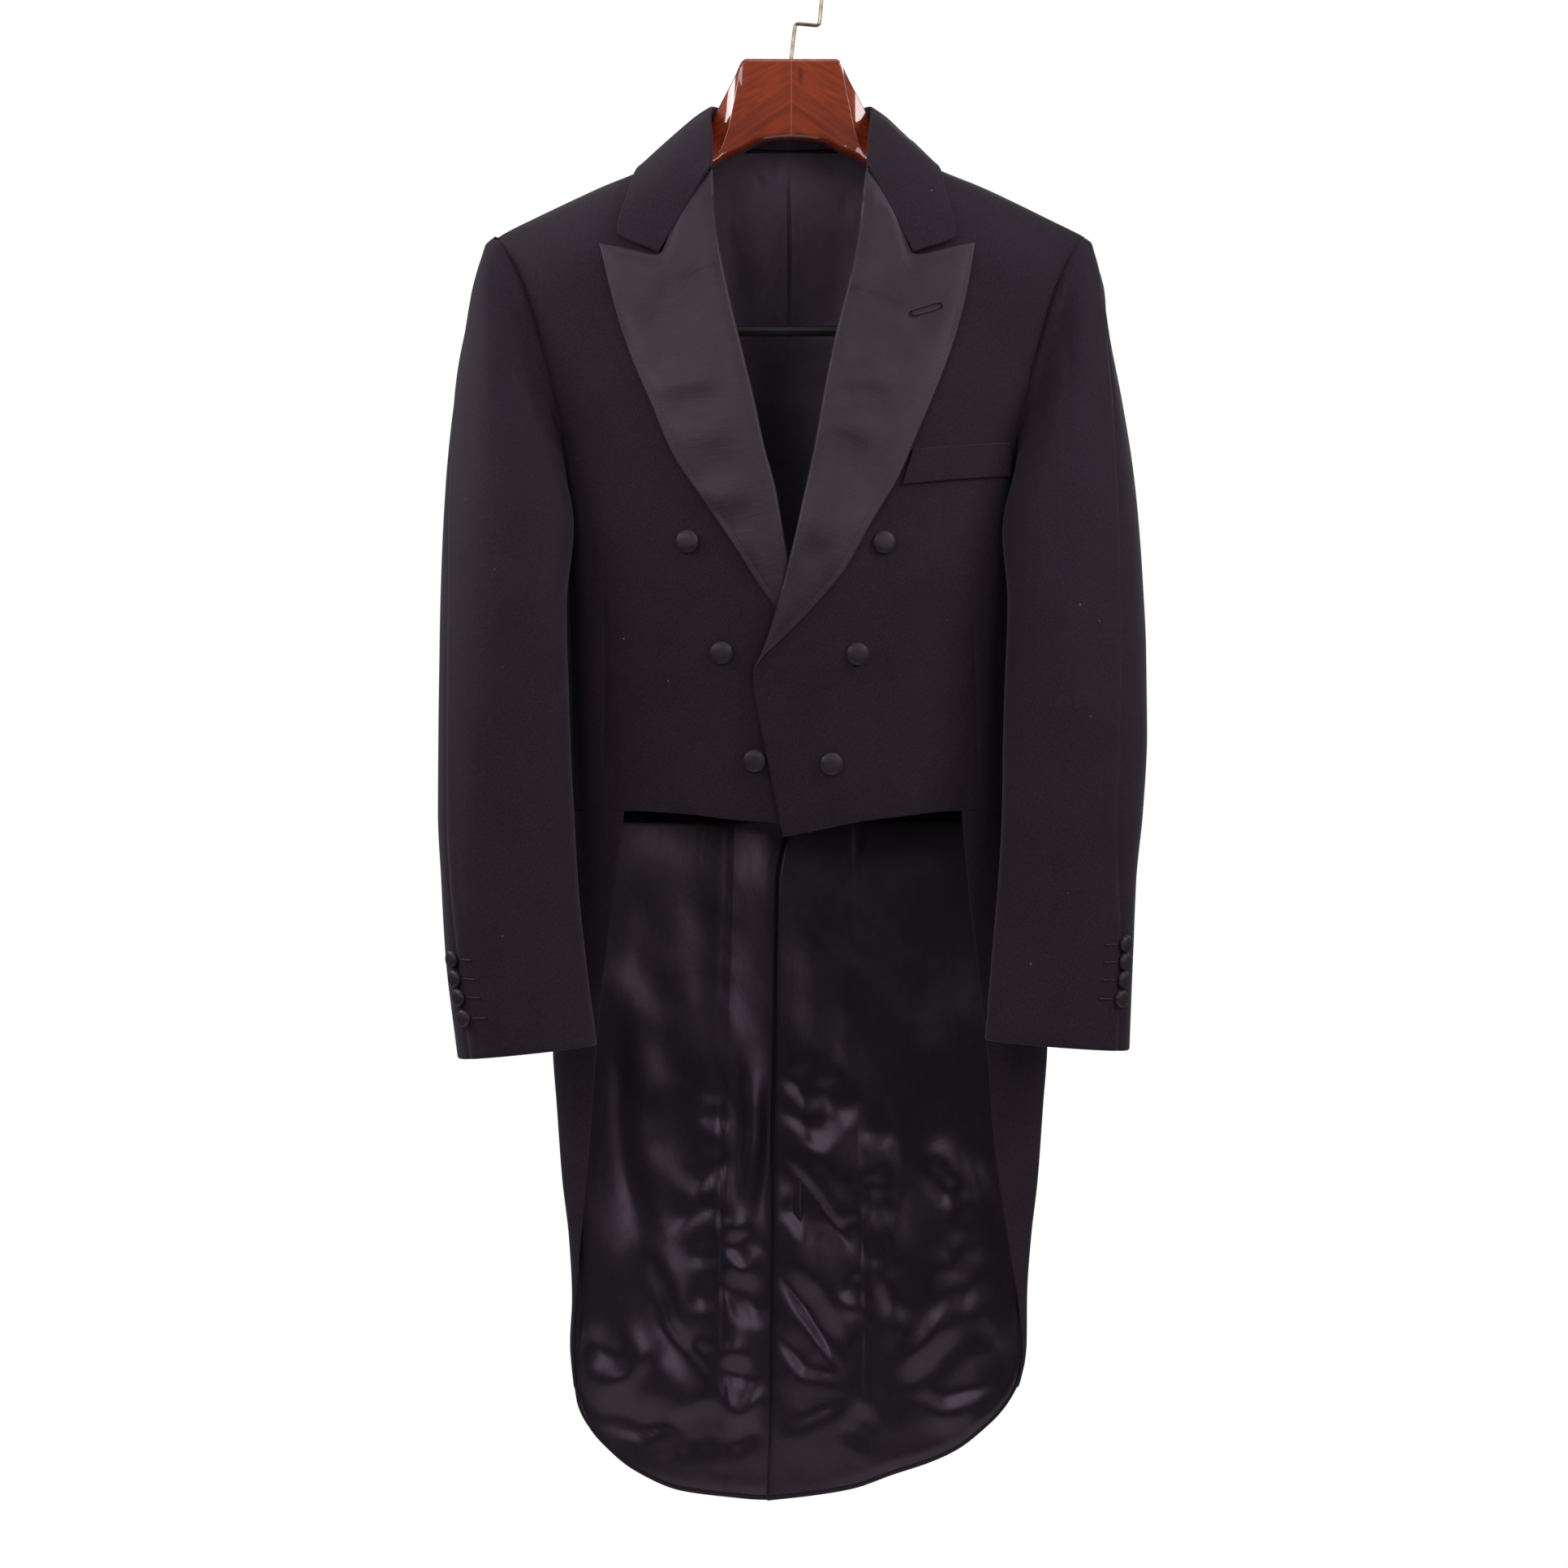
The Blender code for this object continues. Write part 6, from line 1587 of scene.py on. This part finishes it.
def build_hanger(material):
    """Contoured wood: eight-sided sections with every long edge rounded."""
    table = Table(
        "x top bevel under front back crown",
        (
            (0, -84.9, -87, -146.5, -13, 13, 8.5),
            (20, -84.9, -87, -148.5, -13, 13, 8.5),
            (35, -84.9, -87, -154.5, -13, 13, 8.5),
            (38, -86.5, -90, -156.5, -13, 13, 7.5),
            (44, -98.5, -117, -159, -13.5, 13, 6),
            (50, -110, -144, -162, -14, 13, 5),
            (57, -123.5, -160, -166, -15, 13, 5),
            (63, -137, -164, -169.5, -16, 14, 5),
            (69, -154, -168, -174, -17, 14, 5),
            (76, -164, -175, -181, -18, 15, 5),
            (100, -176, -189, -199, -22, 17, 7),
            (140, -197, -209, -220, -29, 18, 9),
            (172, -214, -225, -236, -33, 16, 9),
            (192, -225, -232, -240, -30, 9, 6),
            (201, -231, -234, -238, -21, 1, 3),
        ),
    )
    half = np.unique(np.concatenate([np.linspace(0, 200, 81), np.linspace(34, 78, 60), (200.4, 200.8, 201)]))
    stations = np.concatenate([-half[:0:-1], half])
    rings = []
    for x in stations:
        at_x = {name: float(table(name, abs(x))) for name in table.names}
        lower = min(5.0, (at_x["bevel"] - at_x["under"]) * 0.45)
        corners = np.array(
            (
                (-at_x["crown"], at_x["top"]), (at_x["front"], at_x["bevel"]),
                (at_x["front"], at_x["under"] + lower * 0.6), (at_x["front"] + 3.5, at_x["under"]),
                (at_x["back"] - 3.5, at_x["under"]), (at_x["back"], at_x["under"] + lower * 0.6),
                (at_x["back"], at_x["bevel"]), (at_x["crown"], at_x["top"]),
            )
        )
        shrink = math.sqrt(max(1 - max((abs(x) - 199.0) / 2.6, 0) ** 2, 0.05))
        centre = corners.mean(axis=0)
        corners = centre + (corners - centre) * shrink
        ring_points = []
        for i in range(8):
            a, b, c = corners[i - 1], corners[i], corners[(i + 1) % 8]
            reach = min(1.6, 0.42 * np.linalg.norm(a - b), 0.42 * np.linalg.norm(c - b))
            start = b + (a - b) / max(np.linalg.norm(a - b), 1e-6) * reach
            end = b + (c - b) / max(np.linalg.norm(c - b), 1e-6) * reach
            for t in (0, 0.25, 0.5, 0.75, 1):
                y, z = start * (1 - t) ** 2 + b * 2 * t * (1 - t) + end * t * t
                ring_points.append((x, y, z))
        rings.append(ring_points)
    points = np.array(rings)
    count = points.shape[1]
    index = np.arange(len(stations) * count).reshape(len(stations), count)
    nxt = np.roll(index, -1, axis=1)
    faces = [
        np.stack([index[:-1], nxt[:-1], nxt[1:]], axis=-1).reshape(-1, 3),
        np.stack([index[:-1], nxt[1:], index[1:]], axis=-1).reshape(-1, 3),
    ]
    flat = points.reshape(-1, 3)
    ends = np.array((points[0].mean(axis=0), points[-1].mean(axis=0)))
    flat = np.concatenate([flat, ends]) * MM
    low, high = len(flat) - 2, len(flat) - 1
    faces.append(np.stack([np.full(count, low), nxt[0], index[0]], axis=-1))
    faces.append(np.stack([np.full(count, high), index[-1], nxt[-1]], axis=-1))
    faces = np.concatenate(faces)
    p = flat[faces]
    if np.einsum("ij,ij->", p[:, 0], np.cross(p[:, 1], p[:, 2])) < 0:
        faces = faces[:, ::-1]
    return piece(mesh_object("hanger_wood", flat, faces, material, 40), "hanger_wood", "hanger_body")


def buttonhole(name, start, end, width, side, sign, lift, material, slot="lapel_satin"):
    """A worked buttonhole: a narrow stitched loop round a slit, lying on the cloth."""
    a, b = np.array(start, float), np.array(end, float)
    along = (b - a) / np.linalg.norm(b - a)
    across = np.array((-along[1], along[0]))
    t = np.linspace(0, 2 * math.pi, 160, endpoint=False)
    half = np.linalg.norm(b - a) / 2
    c, s = np.cos(t), np.sin(t)
    u = signed_power(c, 0.35) * half
    v = signed_power(s, 0.7) * width / 2
    xz = (a + b) / 2 + u[:, None] * along + v[:, None] * across
    points, normals = form_x(side, xz[:, 0], xz[:, 1])
    path = (points + normals * lift) * np.array((sign, 1, 1))
    radius = 0.75 + 0.16 * np.sin(np.arange(160) * math.pi / 1.5)
    obj = tube_object(name, path, radius, material, 8, True)
    return piece(obj, slot)


def main():
    pieces_of = {}
    for side, sign in (("left", 1), ("right", -1)):
        cloth_mat = wool(f"wool_body_{side}")
        build_front(side, sign, cloth_mat)
        build_side(side, sign, cloth_mat)
        back = build_back(side, sign, cloth_mat)
        _, u = build_skirt(side, sign, cloth_mat)
        build_tail_lining(side, sign, u, back, lining(f"tail_lining_{side}"))
        pieces_of[side] = build_lapel(side, sign, satin(f"lapel_satin_{side}"))
        sleeve_mat = wool(f"wool_sleeve_{side}")
        for under in (False, True):
            build_sleeve(side, sign, under, sleeve_mat)
    build_collar(wool("wool_collar"))
    build_pocket(wool("wool_pocket"))
    build_back_lining(lining("back_lining", (0.0460, 0.0345, 0.0460), (0.0720, 0.0560, 0.0720), 0.50))

    button_mat = satin("button_satin", (0.0120, 0.0090, 0.0120), (0.0200, 0.0160, 0.0200), 0.44, False)
    front_buttons = Table(
        "k left_x left_z right_x right_z",
        ((1, 69.9, -464.4, 78.6, -463.8), (2, 49.6, -548.5, 52.8, -547.9), (3, 30.0, -631.3, 27.9, -629.5)),
    )
    for k in (1, 2, 3):
        for side, sign, first in (("left", 1, 0), ("right", -1, 3)):
            x, z = float(front_buttons(side + "_x", k)), float(front_buttons(side + "_z", k))
            point, normal = form_x(side, x, z)
            lift = float(front_lift(x, z)) if side == "left" else 0.0
            build_button(f"front_button_{first + k}", sign, point + normal * (lift + 0.3), normal, FRONT_BUTTON, button_mat)
    cuff_buttons = Table(
        "k left_r left_turn right_r right_turn",
        ((1, 10.85, 27, 11.0, 24), (2, 11.06, 27, 11.21, 26), (3, 11.26, 28, 11.40, 29), (4, 11.46, 31, 11.60, 33)),
    )
    thread = satin("thread", (0.010, 0.008, 0.010), (0.022, 0.018, 0.022), 0.5, False)
    for k in (1, 2, 3, 4):
        for side, sign in (("left", 1), ("right", -1)):
            r, turn = float(cuff_buttons(side + "_r", k)), math.radians(float(cuff_buttons(side + "_turn", k)))
            point, normal = sleeve_frame(side, r, turn)
            build_button(f"cuff_button_{side}_{k}", sign, point + normal * 0.3, normal, CUFF_BUTTON, button_mat)
            turns = np.radians(np.linspace(math.degrees(turn) + 9, math.degrees(turn) + 24, 24))
            line, up = sleeve_frame(side, np.full(24, r), turns)
            path = (line + up * 0.45) * np.array((sign, 1, 1))
            radius = 0.62 + 0.12 * np.sin(np.arange(24) * 2.0)
            piece(tube_object(f"cuff_hole_{side}_{k}", path, radius, thread, 8), "button_satin")
    for side, sign in (("left", 1), ("right", -1)):
        point, normal = form_x(side, 45.0, WAIST + 8, True)
        build_button(f"waist_button_{side}", sign, point + normal * 0.3, normal, FRONT_BUTTON, button_mat)
    buttonhole("lapel_buttonhole", (90.1, -290.8), (113.5, -283.4), 4.6, "left", 1, 5.6, thread)

    build_hanger(lacquered_wood("hanger_wood"))
    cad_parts["hanger_hook"].data.materials.clear()
    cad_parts["hanger_hook"].data.materials.append(wire_metal("hook_metal"))
    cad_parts["hanger_bar"].data.materials.clear()
    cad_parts["hanger_bar"].data.materials.append(enamel("bar_enamel"))


def lamp(name, place, size, power, aim):
    data = bpy.data.lights.new(name, "AREA")
    data.shape = "RECTANGLE"
    data.size, data.size_y = size
    data.energy = power
    obj = bpy.data.objects.new(name, data)
    bpy.context.scene.collection.objects.link(obj)
    obj.location = place
    obj.rotation_euler = (Vector(aim) - Vector(place)).to_track_quat("-Z", "Y").to_euler()
    return obj


def studio():
    world = bpy.data.worlds.new("studio")
    world.use_nodes = True
    bpy.context.scene.world = world
    tree = world.node_tree
    background = tree.nodes["Background"]
    background.inputs["Color"].default_value = (1, 1, 1, 1)
    background.inputs["Strength"].default_value = 1.0
    path = tree.nodes.new("ShaderNodeLightPath")
    soft_fill = tree.nodes.new("ShaderNodeBackground")
    soft_fill.inputs["Color"].default_value = (0.97, 0.98, 1.0, 1)
    soft_fill.inputs["Strength"].default_value = 0.13
    mix = tree.nodes.new("ShaderNodeMixShader")
    tree.links.new(path.outputs["Is Camera Ray"], mix.inputs[0])
    tree.links.new(soft_fill.outputs[0], mix.inputs[1])
    tree.links.new(background.outputs[0], mix.inputs[2])
    tree.links.new(mix.outputs[0], tree.nodes["World Output"].inputs[0])

    mesh = bpy.data.meshes.new("floor")
    s, z = 0.72, -1.43
    turns = np.linspace(0, 2 * math.pi, 96, endpoint=False)
    mesh.from_pydata([(s * math.cos(a), s * math.sin(a), z) for a in turns], [], [tuple(range(96))])
    floor = bpy.data.objects.new("floor", mesh)
    bpy.context.scene.collection.objects.link(floor)
    pale = bpy.data.materials.new("pale_floor")
    pale.use_nodes = True
    shader = pale.node_tree.nodes["Principled BSDF"]
    shader.inputs["Base Color"].default_value = (0.94, 0.94, 0.94, 1)
    shader.inputs["Roughness"].default_value = 0.9
    shader.inputs["Emission Color"].default_value = (1, 1, 1, 1)
    shader.inputs["Emission Strength"].default_value = 0.05
    mesh.materials.append(pale)

    lamp("key", (-1.5, -3.0, 0.75), (1.8, 1.8), 33, (0, 0, -0.55))
    lamp("fill", (1.7, -2.9, 0.1), (1.4, 1.8), 25, (0, 0, -0.65))
    lamp("left_box", (-1.70, -0.10, 0.50), (2.0, 0.7), 32, (0, 0, -0.14))
    lamp("right_box", (1.65, -0.75, 0.78), (0.8, 1.4), 27, (0, 0, -0.14))
    lamp("top", (0, -0.4, 1.9), (1.6, 1.2), 11, (0, 0, -0.4))
    lamp("behind", (0.9, 3.2, 0.5), (1.8, 1.8), 34, (0, 0, -0.6))

    camera = bpy.data.cameras.new("camera")
    camera.lens = 102.2
    camera.sensor_width = 36
    camera.clip_end = 60
    obj = bpy.data.objects.new("camera", camera)
    bpy.context.scene.collection.objects.link(obj)
    obj.location = (-0.0056, -3.46, -0.6473)
    obj.rotation_euler = (math.pi / 2, 0, 0)
    bpy.context.scene.camera = obj
    bpy.context.scene.view_settings.view_transform = "Standard"


main()
studio()
for name, (wide, long, area) in sorted(CUTS.items()):
    print(f"cut {name}: {wide:.3f} x {long:.3f}, {area:.4f}")
